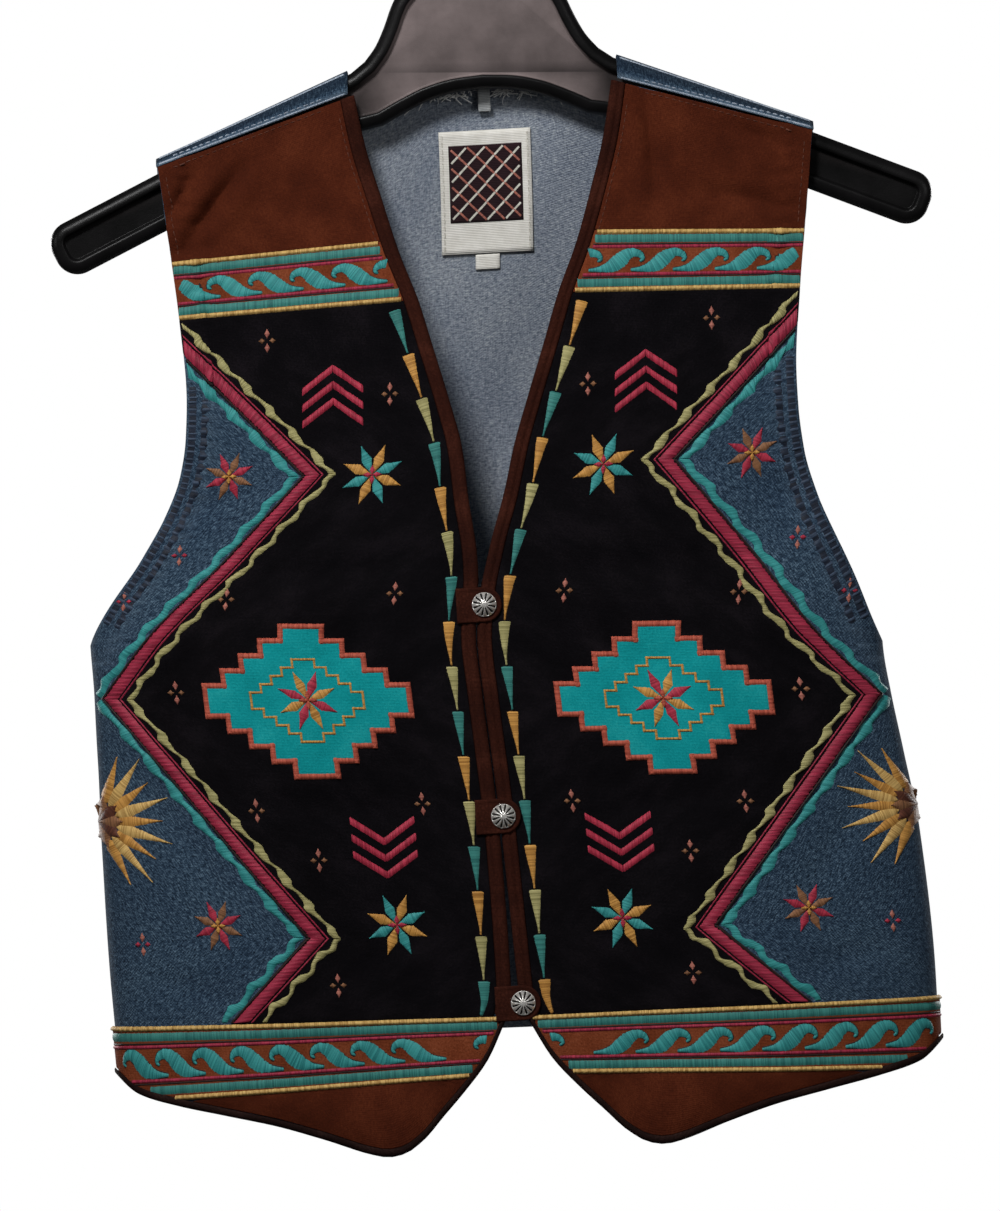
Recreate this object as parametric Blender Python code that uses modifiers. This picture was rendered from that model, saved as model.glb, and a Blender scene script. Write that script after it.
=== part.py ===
"""A denim vest with laid-on yokes, bands and panels, hung on a moulded hanger.

The rail touches the hook at the origin. Z is up, the vest's front faces -Y, and left is -X.
"""

import math
from collections import namedtuple

import bmesh
import bpy
import numpy as np
from mathutils import Vector

for old in list(bpy.data.objects):
    bpy.data.objects.remove(old, do_unlink=True)

# Cloth walls, the gap that a seam or a laid-on piece keeps, and the step that finds a slope
DENIM = 0.0012
LAYER = 0.0010
GAP = 0.0003
SIDE_SEAM_BACK = 0.00045
SHOULDER_SEAM_BACK = 0.0009
TIP = 0.0001

# The shoulder ridge, which falls evenly from the neck point to the armhole
NECK_OUT = 0.0658
NECK_HEIGHT = -0.1022
SHOULDER_SLOPE = 0.40
SHOULDER_ROUND = 0.0096
SEAM_DROP_AT_NECK = 0.0120
SEAM_DROP_AT_TIP = 0.0040
BACK_NECK_HEIGHT = -0.1130

# The round of the sides, which grows between two heights
SIDE_POWER = 3.0
ROUND_FROM = -0.150
ROUND_FULL = -0.360

UNDERARM = -0.385
EDGE_WIDTH = 0.0060
HEM_EDGE_WIDTH = 0.0030
PANEL_MARGIN = 0.0080
POINT_SHARE = 0.455
POINT_END = 0.25
POINT_LEAST = 0.0015
BACK_HEM_MIDDLE = -0.5740
BACK_HEM_SIDE = -0.5870

Edge = namedtuple("Edge", "height out")
Hem = namedtuple("Hem", "out height")
Fall = namedtuple("Fall", "drop front back")
Sway = namedtuple("Sway", "height shift lean")
Level = namedtuple("Level", "name at_front at_side cells")
BackLevel = namedtuple("BackLevel", "at_middle at_side")
Fold = namedtuple("Fold", "face x0 z0 x1 z1 width depth")
Button = namedtuple("Button", "name height shift")

# Half the open front: the V, then the narrow gap below it
FRONT_EDGE = [
    Edge(-0.568, 0.0060),
    Edge(-0.555, 0.0028),
    Edge(-0.460, 0.0014),
    Edge(-0.390, 0.0013),
    Edge(-0.358, 0.0018),
    Edge(-0.339, 0.0042),
    Edge(-0.314, 0.0095),
    Edge(-0.290, 0.0136),
    Edge(-0.266, 0.0202),
    Edge(-0.241, 0.0278),
    Edge(-0.217, 0.0350),
    Edge(-0.193, 0.0441),
    Edge(-0.168, 0.0516),
    Edge(-0.140, 0.0592),
    Edge(-0.102, 0.0658),
]

# Half the width at the side seams, carried on up as the round of the chest
SIDE = [
    Edge(-0.590, 0.1998),
    Edge(-0.540, 0.2008),
    Edge(-0.480, 0.1992),
    Edge(-0.440, 0.1962),
    Edge(-0.385, 0.1928),
    Edge(-0.300, 0.1945),
    Edge(-0.140, 0.2000),
]

ARMHOLE = [
    Edge(-0.385, 0.1928),
    Edge(-0.376, 0.1886),
    Edge(-0.360, 0.1806),
    Edge(-0.339, 0.1688),
    Edge(-0.318, 0.1584),
    Edge(-0.298, 0.1518),
    Edge(-0.278, 0.1490),
    Edge(-0.259, 0.1483),
    Edge(-0.219, 0.1512),
    Edge(-0.192, 0.1542),
    Edge(-0.138, 0.1604),
]

# The side edge of the black panel, a zigzag of straight runs
ZIGZAG = [
    Edge(-0.565, 0.1397),
    Edge(-0.525, 0.0978),
    Edge(-0.411, 0.1876),
    Edge(-0.300, 0.0890),
    Edge(-0.237, 0.1500),
]

FRONT_HEM = [
    Hem(0.0060, -0.5675),
    Hem(0.0160, -0.5862),
    Hem(0.0275, -0.6000),
    Hem(0.0390, -0.6120),
    Hem(0.0500, -0.6233),
    Hem(0.0600, -0.6294),
    Hem(0.0670, -0.6305),
    Hem(0.0735, -0.6293),
    Hem(0.0980, -0.6207),
    Hem(0.1220, -0.6130),
    Hem(0.1460, -0.6074),
    Hem(0.1710, -0.6017),
    Hem(0.1900, -0.5957),
    Hem(0.2003, -0.5865),
]

# How far front and back stand from the middle plane, by the drop from the ridge
FALL = [
    Fall(0.0096, 0.0096, 0.0096),
    Fall(0.060, 0.0135, 0.0130),
    Fall(0.120, 0.0230, 0.0210),
    Fall(0.200, 0.0350, 0.0320),
    Fall(0.275, 0.0420, 0.0390),
    Fall(0.400, 0.0440, 0.0410),
    Fall(0.550, 0.0430, 0.0400),
]

# The body hangs a little to one side of the hanger's middle, and its right side hangs lower
SWAY = [
    Sway(-0.630, -0.0060, -0.012),
    Sway(-0.560, -0.0068, -0.024),
    Sway(-0.480, -0.0090, -0.037),
    Sway(-0.410, -0.0135, -0.055),
    Sway(-0.385, -0.0150, -0.055),
    Sway(-0.340, -0.0095, -0.032),
    Sway(-0.280, -0.0045, -0.011),
    Sway(-0.200, -0.0024, -0.008),
    Sway(-0.100, 0.0000, 0.000),
]

# The front opening lies a little further to that side than the side seams do
LEAD = -0.0046

# Seam lines of a front from the hem up, and the rows of cells to the next one
LEVELS = [
    Level("hem_band_foot", -0.5940, -0.6010, 2),
    Level("hem_band_head", -0.5660, -0.5645, 2),
    Level("lower_corner", -0.5250, -0.5250, 5),
    Level("side_corner", -0.4110, -0.4110, 2),
    Level("underarm", UNDERARM, UNDERARM, 4),
    Level("upper_corner", -0.3000, -0.3000, 3),
    Level("panel_top", -0.2370, -0.2370, 1),
    Level("yoke_band_foot", -0.2170, -0.2205, 2),
    Level("yoke_band_head", -0.1870, -0.1920, 4),
    Level("shoulder_seam", -0.1142, -0.1441, 0),
]

# Rows of the back from just above its hem to just below the shoulder ridge
BACK_LEVELS = [
    BackLevel(-0.530, -0.535),
    BackLevel(-0.480, -0.480),
    BackLevel(-0.430, -0.430),
    BackLevel(UNDERARM, UNDERARM),
    BackLevel(-0.345, -0.350),
    BackLevel(-0.310, -0.322),
    BackLevel(-0.270, -0.290),
    BackLevel(-0.230, -0.255),
    BackLevel(-0.1945, -0.222),
    BackLevel(-0.1345, -0.188),
    BackLevel(-0.1200, -0.166),
]
LEVEL_FROM = 0.0245
LEVEL_RUN = 0.1300
LABEL_ROWS = (9, 10)
LABEL_HALF = 0.0225
SIZE_TAB_HALF = 0.0060
SIZE_TAB_LONG = 0.0075

# Soft folds: front is 1 and back is -1; a plus depth is a ridge
FOLDS = [
    Fold(1, -0.150, -0.300, -0.080, -0.385, 0.020, -0.0035),
    Fold(1, 0.150, -0.310, 0.090, -0.390, 0.020, -0.0030),
    Fold(1, -0.095, -0.370, -0.125, -0.600, 0.026, 0.0045),
    Fold(1, 0.100, -0.380, 0.130, -0.600, 0.026, 0.0045),
    Fold(1, -0.050, -0.450, -0.060, -0.600, 0.020, -0.0025),
    Fold(1, 0.055, -0.460, 0.062, -0.600, 0.020, -0.0025),
    Fold(-1, -0.060, -0.260, -0.090, -0.570, 0.028, 0.0060),
    Fold(-1, 0.065, -0.250, 0.085, -0.570, 0.028, 0.0060),
    Fold(-1, 0.000, -0.330, -0.005, -0.570, 0.026, -0.0040),
    Fold(-1, -0.140, -0.300, -0.150, -0.560, 0.022, -0.0035),
    Fold(-1, 0.140, -0.310, 0.150, -0.560, 0.022, -0.0035),
]

# Fastenings
TAB_HALF = 0.0085
TAB_REACH = 0.0135
TAB_THICK = 0.0012
TAB_EASE = 0.0001
BUTTON_RADIUS = 0.0059
BUTTON_HEIGHT = 0.0042
BUTTONS = [
    Button("top", -0.3660, 0.0030),
    Button("middle", -0.4687, 0.0022),
    Button("bottom", -0.5595, 0.0036),
]

# Hanger
HANGER_THICK = 0.0130
HANGER_ROUND = 0.0050
RIM = 0.0065
RECESS = 0.0035
ARM_TALL = 0.0265
ARM_SLOPE = 0.445
ARM_END = 0.2188
ARM_CORNER = 0.0110
ARM_ROOT = 0.0640
ARM_MIDDLE = 0.1200
UNDER_CLOTH = 0.0022
HOOK_INSIDE = 0.0190
HOOK_WIRE = 0.0035
HOOK_NECK = [
    Hem(0.0000, -0.0500),
    Hem(0.0030, -0.0460),
    Hem(0.0110, -0.0400),
    Hem(0.0185, -0.0325),
]
BELL = [
    Hem(0.0000, -0.0540),
    Hem(0.0200, -0.0555),
    Hem(0.0330, -0.0610),
    Hem(0.0400, -0.0680),
    Hem(0.0430, -0.0735),
    Hem(0.0465, -0.0820),
    Hem(0.0514, -0.0915),
    Hem(0.0570, -0.0985),
]
ARCH = [
    Hem(0.0500, -0.1300),
    Hem(0.0380, -0.1240),
    Hem(0.0260, -0.1190),
    Hem(0.0130, -0.1160),
    Hem(0.0000, -0.1150),
]

LOOP_WIDE = 0.0060
LOOP_TALL = 0.0125
LOOP_DEEP = 0.0032
LOOP_TOP = -0.1135

parts = bpy.data.collections.new("denim_vest_on_hanger")
cutters = bpy.data.collections.new("cutters")
bpy.context.scene.collection.children.link(parts)
bpy.context.scene.collection.children.link(cutters)


def finish(name, colour, roughness, metallic=0.0):
    """A plain material."""
    material = bpy.data.materials.new(name)
    material.use_nodes = True
    shader = material.node_tree.nodes["Principled BSDF"]
    shader.inputs["Base Color"].default_value = (*colour, 1.0)
    shader.inputs["Roughness"].default_value = roughness
    shader.inputs["Metallic"].default_value = metallic
    return material


DENIM_BLUE = finish("denim_blue", (0.060, 0.105, 0.190), 0.9)
RUST = finish("rust_cotton", (0.150, 0.052, 0.026), 0.9)
BAND = finish("worked_band", (0.060, 0.150, 0.160), 0.8)
BLACK = finish("black_cotton", (0.010, 0.010, 0.012), 0.85)
BROWN = finish("brown_cotton", (0.110, 0.040, 0.022), 0.9)
DARK_EDGE = finish("dark_edge", (0.030, 0.014, 0.012), 0.9)
SILVER = finish("silver_metal", (0.720, 0.710, 0.690), 0.25, 1.0)
CREAM = finish("cream_tape", (0.760, 0.750, 0.690), 0.8)
GREY_TAPE = finish("grey_tape", (0.420, 0.430, 0.430), 0.8)
PLASTIC = finish("dark_plastic", (0.016, 0.014, 0.015), 0.35)


def add(name, data, material, collection=parts):
    """A named object with its material, in a collection."""
    thing = bpy.data.objects.new(name, data)
    if material:
        data.materials.append(material)
    collection.objects.link(thing)
    return thing


def smooth(at, knots, values):
    """A smooth curve through the values that never passes them."""
    at, knots, values = (np.asarray(a, float) for a in (at, knots, values))
    step = np.diff(knots)
    rise = np.diff(values) / step
    slope = np.concatenate([rise[:1], np.zeros(len(knots) - 2), rise[-1:]])
    total = rise[:-1] + rise[1:]
    same = rise[:-1] * rise[1:] > 0
    slope[1:-1][same] = 2 * (rise[:-1] * rise[1:])[same] / total[same]
    k = np.clip(np.searchsorted(knots, at) - 1, 0, len(step) - 1)
    t = np.clip((at - knots[k]) / step[k], 0, 1)
    ends = (1 + 2 * t) * (1 - t) ** 2 * values[k] + t * t * (3 - 2 * t) * values[k + 1]
    bends = t * (1 - t) ** 2 * slope[k] - t * t * (1 - t) * slope[k + 1]
    return ends + bends * step[k]


def column(table, name):
    return [getattr(row, name) for row in table]


def out_at(table, height):
    return smooth(height, column(table, "height"), column(table, "out"))


def hem_at(x):
    return smooth(np.abs(x), column(FRONT_HEM, "out"), column(FRONT_HEM, "height"))


def side_at(height):
    """The side edge of front and back: the armhole, and the side seam below it."""
    return np.where(height > UNDERARM, out_at(ARMHOLE, height), out_at(SIDE, height))


def ridge_at(x):
    return NECK_HEIGHT - SHOULDER_SLOPE * (np.abs(x) - NECK_OUT)


def way_down(x, height):
    """The way along the cloth from the shoulder ridge down to a height."""
    drop = np.maximum(ridge_at(x) - height, 0)
    turn = np.arccos(np.clip(1 - drop / SHOULDER_ROUND, 0, 1))
    return SHOULDER_ROUND * turn + np.maximum(drop - SHOULDER_ROUND, 0)


def folded(x, z, face):
    """How far the folds of one face lift the cloth."""
    lift = np.zeros_like(x)
    for fold in FOLDS:
        run_x, run_z = fold.x1 - fold.x0, fold.z1 - fold.z0
        share = ((x - fold.x0) * run_x + (z - fold.z0) * run_z) / (run_x**2 + run_z**2)
        share = np.clip(share, 0, 1)
        away = np.hypot(x - fold.x0 - share * run_x, z - fold.z0 - share * run_z)
        bump = fold.depth * np.exp(-((away / fold.width) ** 2))
        lift = lift + np.where(face == fold.face, bump, 0)
    return lift


def cloth(x, way):
    """Points of the cloth's outer face: x from the middle, and the way down from the ridge.

    A plus way runs down the front, and a minus way down the back.
    """
    face = np.where(way < 0, -1, 1)
    turn = np.minimum(np.abs(way) / SHOULDER_ROUND, math.pi / 2)
    past = np.maximum(np.abs(way) - SHOULDER_ROUND * math.pi / 2, 0)
    drop = SHOULDER_ROUND * (1 - np.cos(turn)) + past
    z = ridge_at(x) - drop
    drops = column(FALL, "drop")
    front = smooth(drop, drops, column(FALL, "front"))
    back = smooth(drop, drops, column(FALL, "back"))
    fall = np.where(face > 0, front, back)
    depth = np.where(past > 0, fall, SHOULDER_ROUND * np.sin(turn))
    grown = np.clip((ROUND_FROM - z) / (ROUND_FROM - ROUND_FULL), 0, 1)
    grown = grown * grown * (3 - 2 * grown)
    reach = np.clip(np.abs(x) / out_at(SIDE, z), 0, 1)
    flat = (1 - grown * reach**SIDE_POWER) ** (1 / SIDE_POWER)
    y = -face * (depth + folded(x, z, face)) * flat
    heights = column(SWAY, "height")
    shift = smooth(z, heights, column(SWAY, "shift")) + LEAD * grown * (1 - reach**2)
    lean = smooth(z, heights, column(SWAY, "lean"))
    return np.stack([x + shift, y, z + lean * x], axis=-1)


def across(x, height, face, joints, cells):
    """Points and outward directions across one row, at set ways along it."""
    way = face * way_down(x, height)
    line = cloth(x, way)
    arc = np.concatenate([[0], np.cumsum(np.linalg.norm(np.diff(line, axis=0), axis=1))])
    marks = joints(arc)
    runs = zip(marks[:-1], marks[1:], cells)
    steps = [np.linspace(a, b, n, endpoint=False) for a, b, n in runs]
    at = np.concatenate([*steps, marks[-1:]])
    along = np.gradient(line, axis=0)
    down = cloth(x, way + TIP) - cloth(x, way - TIP)
    out = np.cross(along, down)
    hint = np.stack([x / (2 * SIDE[0].out), np.full_like(x, -face), np.zeros_like(x)], axis=-1)
    out *= np.sign((out * hint).sum(axis=1, keepdims=True))
    out /= np.maximum(np.linalg.norm(out, axis=1, keepdims=True), 1e-12)
    points = np.stack([np.interp(at, arc, line[:, k]) for k in range(3)], axis=1)
    out = np.stack([np.interp(at, arc, out[:, k]) for k in range(3)], axis=1)
    return points, out / np.linalg.norm(out, axis=1, keepdims=True)


def front_rows():
    """The seam lines with the plain rows between them, and the row of each seam line."""
    rows, named = [("hem", 0.0, 0.0), ("hem_edge", 0.0, 0.0)], {"hem": 0, "hem_edge": 1}
    for level, above in zip(LEVELS, LEVELS[1:] + LEVELS[-1:]):
        named[level.name] = len(rows)
        for k in range(max(level.cells, 1)):
            share = k / max(level.cells, 1)
            at_front = level.at_front + share * (above.at_front - level.at_front)
            at_side = level.at_side + share * (above.at_side - level.at_side)
            rows.append((level.name, at_front, at_side))
    return rows, named


FRONT_CELLS = (1, 4, 4, 4)
ROWS, ROW = front_rows()
EDGE_COLUMN, ZIGZAG_COLUMN, SIDE_COLUMN = 1, 9, 13


def front_grid(side):
    """The points and outward directions of one front, row by row from the hem."""
    points, outward = [], []
    for name, at_front, at_side in ROWS:
        low = name in ("hem", "hem_edge")
        start = FRONT_EDGE[0].out if low else out_at(FRONT_EDGE, at_front)
        end = SIDE[0].out if low else side_at(at_side)
        share = np.sin(np.linspace(0, math.pi / 2, 500))
        x = start + (end - start) * share
        height = at_front + (at_side - at_front) * share
        if low:
            height = hem_at(x) + (0 if name == "hem" else HEM_EDGE_WIDTH)
        if name == "shoulder_seam":
            height = height - SHOULDER_SEAM_BACK
        zigzag = np.interp(at_side, column(ZIGZAG, "height"), column(ZIGZAG, "out"))
        seam = SIDE_SEAM_BACK if low or at_side <= UNDERARM else 0

        def joints(arc):
            turn = min(np.interp(zigzag, x, arc), arc[-1] - PANEL_MARGIN)
            point = EDGE_WIDTH + POINT_SHARE * (turn - EDGE_WIDTH)
            return np.array([0, EDGE_WIDTH, point, turn, arc[-1] - seam])

        row, out = across(side * x, height, 1, joints, FRONT_CELLS)
        points.append(row)
        outward.append(out)
    points, outward = np.array(points), np.array(outward)
    for row in range(ROW["hem_edge"] + 1, ROW["hem_band_head"] + 1):
        short = points[row, :, 2] < points[row - 1, :, 2] + HEM_EDGE_WIDTH / 2
        points[row, short] = points[row - 1, short]
        outward[row, short] = outward[row - 1, short]
    return points, outward


BACK_CELLS = (1, 1, 1, 8)
BACK_HALF = sum(BACK_CELLS)
NECK_COLUMN = 3


def back_row(height_of, way_of=None):
    """One row of the back from left to right, by its height or by its way over the ridge."""
    half = []
    for side in (-1, 1):
        share = np.sin(np.linspace(0, math.pi / 2, 500))
        tip = ARMHOLE[-1].out
        end = side_at(height_of(np.array([tip]))[0]) if way_of is None else tip
        x = end * share
        height = height_of(x) if way_of is None else ridge_at(x)
        marks = [0, LABEL_HALF, (LABEL_HALF + NECK_OUT) / 2, NECK_OUT]

        def joints(arc):
            near = np.interp(marks, x, arc)
            seam = SIDE_SEAM_BACK if height[-1] <= UNDERARM else 0
            return np.array([*near, arc[-1] - seam])

        if way_of is None:
            half.append(across(side * x, height, -1, joints, BACK_CELLS))
            continue
        runs = zip(marks, marks[1:] + [end], BACK_CELLS)
        steps = [np.linspace(a, b, n, endpoint=False) for a, b, n in runs]
        at = np.concatenate([*steps, [end]])
        way = way_of(at)
        row = cloth(side * at, way)
        along = cloth(side * (at + TIP), way) - cloth(side * (at - TIP), way)
        out = np.cross(along, cloth(side * at, way + TIP) - cloth(side * at, way - TIP))
        up = np.stack([0 * at, -np.sin(way / SHOULDER_ROUND), np.cos(way / SHOULDER_ROUND)], axis=1)
        out *= np.sign((out * up).sum(axis=1, keepdims=True))
        half.append((row, out / np.linalg.norm(out, axis=1, keepdims=True)))
    (left, left_out), (right, right_out) = half
    return (np.concatenate([left[:0:-1], right]), np.concatenate([left_out[:0:-1], right_out]))


def neck_at(x):
    """The back neck edge, which curves up to where the shoulders turn over the hanger."""
    rise = NECK_HEIGHT - SHOULDER_ROUND - BACK_NECK_HEIGHT
    return BACK_NECK_HEIGHT + rise * np.clip(np.abs(x) / NECK_OUT, 0, 1) ** 4


def back_grid():
    """The points and outward directions of the back, from its hem up and over the ridge."""
    rows = []

    def hem(x):
        share = np.clip(np.abs(x) / SIDE[0].out, 0, 1) ** 2
        return BACK_HEM_MIDDLE + share * (BACK_HEM_SIDE - BACK_HEM_MIDDLE)

    rows.append(back_row(hem))
    for level in BACK_LEVELS:

        def line(x, level=level):
            share = np.clip((np.abs(x) - LEVEL_FROM) / LEVEL_RUN, 0, 1)
            return level.at_middle + share * (level.at_side - level.at_middle)

        rows.append(back_row(line))
    quarter = SHOULDER_ROUND * math.pi / 2
    for way in (-quarter, -quarter * 2 / 3, -quarter / 3, 0):
        rows.append(back_row(None, lambda x, way=way: np.full_like(x, way)))
    seam = [SEAM_DROP_AT_NECK, SEAM_DROP_AT_TIP]
    for share in (1 / 3, 2 / 3, 1):

        def over(x, share=share):
            drop = np.interp(x, [NECK_OUT, ARMHOLE[-1].out], seam)
            return share * (way_down(x, ridge_at(x) - drop) - GAP / 2)

        rows.append(back_row(None, over))
    return np.array([r[0] for r in rows]), np.array([r[1] for r in rows])


NECK_ROW = len(BACK_LEVELS) + 1


def sheet(name, points, outward, thick, outside, material, keep=None):
    """A cloth wall: a grid bent to the points, with Solidify to one side of it."""
    rows, columns = points.shape[:2]
    bm = bmesh.new()
    bmesh.ops.create_grid(bm, x_segments=columns - 1, y_segments=rows - 1, size=1)
    dropped = []
    for face in bm.faces:
        middle = face.calc_center_median()
        cell = (int((middle.y + 1) / 2 * (rows - 1)), int((middle.x + 1) / 2 * (columns - 1)))
        if keep and not keep(*cell):
            dropped.append(face)
    facing = {}
    for vertex in bm.verts:
        row = round((vertex.co.y + 1) / 2 * (rows - 1))
        place = round((vertex.co.x + 1) / 2 * (columns - 1))
        vertex.co = points[row, place]
        facing[vertex] = Vector(outward[row, place])
    bmesh.ops.delete(bm, geom=dropped, context="FACES")
    bm.normal_update()
    if sum(face.normal.dot(facing[face.verts[0]]) for face in bm.faces) < 0:
        bmesh.ops.reverse_faces(bm, faces=bm.faces)
    bmesh.ops.remove_doubles(bm, verts=bm.verts, dist=0.00001)
    bmesh.ops.dissolve_degenerate(bm, edges=bm.edges, dist=0.00001)
    mesh = bpy.data.meshes.new(name)
    bm.to_mesh(mesh)
    bm.free()
    thing = add(name, mesh, material)
    wall = thing.modifiers.new("wall", "SOLIDIFY")
    wall.thickness = thick
    wall.offset = 1 if outside else -1
    return thing


def drawn_in(points):
    """The same points with every border moved in by half a seam gap."""
    moved = points.copy()
    for near, next_in in ((np.s_[0], np.s_[1]), (np.s_[-1], np.s_[-2])):
        for view, source in ((moved, points), (moved.swapaxes(0, 1), points.swapaxes(0, 1))):
            run = source[next_in] - source[near]
            long = np.linalg.norm(run, axis=-1, keepdims=True)
            view[near] += np.where(long > GAP, run / np.maximum(long, 1e-9) * GAP / 2, 0)
    return moved


def laid_on(name, grid, rows, columns, material, keep=None):
    """A piece laid on a front, made from the front's own points moved out."""
    spot = np.s_[rows[0]:rows[1] + 1, columns[0]:columns[1] + 1]
    points, outward = grid[0][spot] + GAP * grid[1][spot], grid[1][spot]
    return sheet(name, drawn_in(points), outward, LAYER, True, material, keep)


def build_front(side, name):
    """A denim front and the pieces laid on it."""
    grid = front_grid(side)
    sheet(f"front_{name}", *grid, DENIM, False, DENIM_BLUE)
    laid_on(f"hem_binding_{name}", grid, (ROW["hem"], ROW["hem_edge"]), (0, SIDE_COLUMN), DARK_EDGE)
    tall = grid[0][ROW["hem_band_foot"], :, 2] - grid[0][ROW["hem_edge"], :, 2]
    below = np.flatnonzero(tall > POINT_LEAST)
    spot = np.s_[ROW["hem_edge"]:ROW["hem_band_foot"] + 1, below[0] - 1:below[-1] + 2]
    points, outward = grid[0][spot] + GAP * grid[1][spot], grid[1][spot]
    points[:, 0] += POINT_END * (points[:, 1] - points[:, 0])
    points[:, -1] += POINT_END * (points[:, -2] - points[:, -1])
    sheet(f"hem_point_{name}", drawn_in(points), outward, LAYER, True, RUST)
    hem_rows = (ROW["hem_band_foot"], ROW["hem_band_head"])
    laid_on(f"hem_band_{name}", grid, hem_rows, (0, SIDE_COLUMN), BAND)
    edge_rows = (ROW["hem_band_head"], ROW["shoulder_seam"])
    laid_on(f"edge_binding_{name}", grid, edge_rows, (0, EDGE_COLUMN), BROWN)
    panel_rows = (ROW["hem_band_head"], ROW["yoke_band_foot"])
    full_from = ROW["panel_top"] - ROW["hem_band_head"]
    inner = ZIGZAG_COLUMN - EDGE_COLUMN
    laid_on(f"panel_{name}", grid, panel_rows, (EDGE_COLUMN, SIDE_COLUMN), BLACK,
            lambda row, place: place < inner or row >= full_from)
    yoke_rows = (ROW["yoke_band_foot"], ROW["yoke_band_head"])
    laid_on(f"yoke_band_{name}", grid, yoke_rows, (EDGE_COLUMN, SIDE_COLUMN), BAND)
    top_rows = (ROW["yoke_band_head"], ROW["shoulder_seam"])
    laid_on(f"yoke_{name}", grid, top_rows, (EDGE_COLUMN, SIDE_COLUMN), RUST)


def build_back():
    """The denim back, with the label and its small tab on its inside."""
    points, outward = back_grid()
    marks = np.array([0, LABEL_HALF, (LABEL_HALF + NECK_OUT) / 2])
    at = np.concatenate([-marks[:0:-1], marks])
    inner = slice(BACK_HALF - NECK_COLUMN + 1, BACK_HALF + NECK_COLUMN)
    points[NECK_ROW, inner] = cloth(at, -way_down(at, neck_at(at)))

    def keep(row, place):
        within = -NECK_COLUMN <= place - BACK_HALF < NECK_COLUMN
        return not (within and row >= NECK_ROW)

    sheet("back", points, outward, DENIM, False, DENIM_BLUE, keep)
    foot, head = LABEL_ROWS
    inside = points - (DENIM + GAP) * outward
    spot = np.s_[foot:head + 1, BACK_HALF - 1:BACK_HALF + 2]
    sheet("label", inside[spot], outward[spot], LAYER, False, CREAM)
    low = np.s_[foot - 1:foot + 1, BACK_HALF - 1:BACK_HALF + 2]
    cell, cell_out = inside[low], outward[low]
    narrow = SIZE_TAB_HALF / LABEL_HALF
    width = cell[:, 1:2] + (cell - cell[:, 1:2]) * narrow
    fall = np.linalg.norm(width[0, 1] - width[1, 1])
    shares = ((GAP + SIZE_TAB_LONG) / fall, GAP / fall)
    tab = np.array([width[1] + (width[0] - width[1]) * share for share in shares])
    sheet("size_tab", tab, cell_out, LAYER, False, CREAM)


def flat_outline(name, outline, thick, material, collection=parts):
    """A flat outline in X and Y, made thick along Z to both sides."""
    bm = bmesh.new()
    face = bm.faces.new([bm.verts.new((x, y, -thick / 2)) for x, y in outline])
    raised = bmesh.ops.extrude_face_region(bm, geom=[face])
    up = [g for g in raised["geom"] if isinstance(g, bmesh.types.BMVert)]
    bmesh.ops.translate(bm, verts=up, vec=(0, 0, thick))
    bmesh.ops.recalc_face_normals(bm, faces=bm.faces)
    mesh = bpy.data.meshes.new(name)
    bm.to_mesh(mesh)
    bm.free()
    return add(name, mesh, material, collection)


def arc_points(centre, radius, start, end, steps):
    turns = [math.radians(start + (end - start) * k / steps) for k in range(steps + 1)]
    return [(centre[0] + radius * math.cos(t), centre[1] + radius * math.sin(t)) for t in turns]


def build_fastenings():
    """The tabs and the dome buttons, set on the line of the front opening."""
    for button in BUTTONS:
        x = np.array([button.shift])
        place, out = across_at(x, button.height)
        turn = Vector(out).to_track_quat("Z", "Y")
        lift = GAP + LAYER + GAP + TAB_THICK / 2 + TAB_EASE
        outline = [(-TAB_REACH, TAB_HALF), (-TAB_REACH, -TAB_HALF)]
        outline += arc_points((0, 0), TAB_HALF, -90, 90, 10)
        tab = flat_outline(f"tab_{button.name}", outline, TAB_THICK, BROWN)
        tab.rotation_mode = "QUATERNION"
        tab.rotation_quaternion = turn
        tab.location = Vector(place) + lift * Vector(out)
        dome = turned(f"button_{button.name}", SILVER)
        dome.rotation_mode = "QUATERNION"
        dome.rotation_quaternion = turn
        dome.location = Vector(place) + (lift + TAB_THICK / 2 + GAP) * Vector(out)


def across_at(x, height):
    """One point of the front's outer face, and the outward direction there."""
    way = way_down(x, height)
    along = cloth(x + TIP, way) - cloth(x - TIP, way)
    out = np.cross(cloth(x, way + TIP) - cloth(x, way - TIP), along)[0]
    out *= -np.sign(out[1])
    return cloth(x, way)[0], out / np.linalg.norm(out)


def turned(name, material):
    """A dome button, turned from half its section."""
    radius, height = BUTTON_RADIUS, BUTTON_HEIGHT
    section = [(0, 0), (radius, 0), (radius, 0.25 * height), (0.85 * radius, 0.62 * height)]
    section += [(0.5 * radius, 0.92 * height), (0, height)]
    mesh = bpy.data.meshes.new(name)
    mesh.from_pydata([(r, 0, h) for r, h in section], [(k, k + 1) for k in range(5)], [])
    thing = add(name, mesh, material)
    screw = thing.modifiers.new("turn", "SCREW")
    screw.axis = "Z"
    screw.angle = 2 * math.pi
    screw.steps = screw.render_steps = 20
    screw.use_merge_vertices = True
    screw.merge_threshold = 0.00001
    screw.use_normal_calculate = True
    return thing


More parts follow.
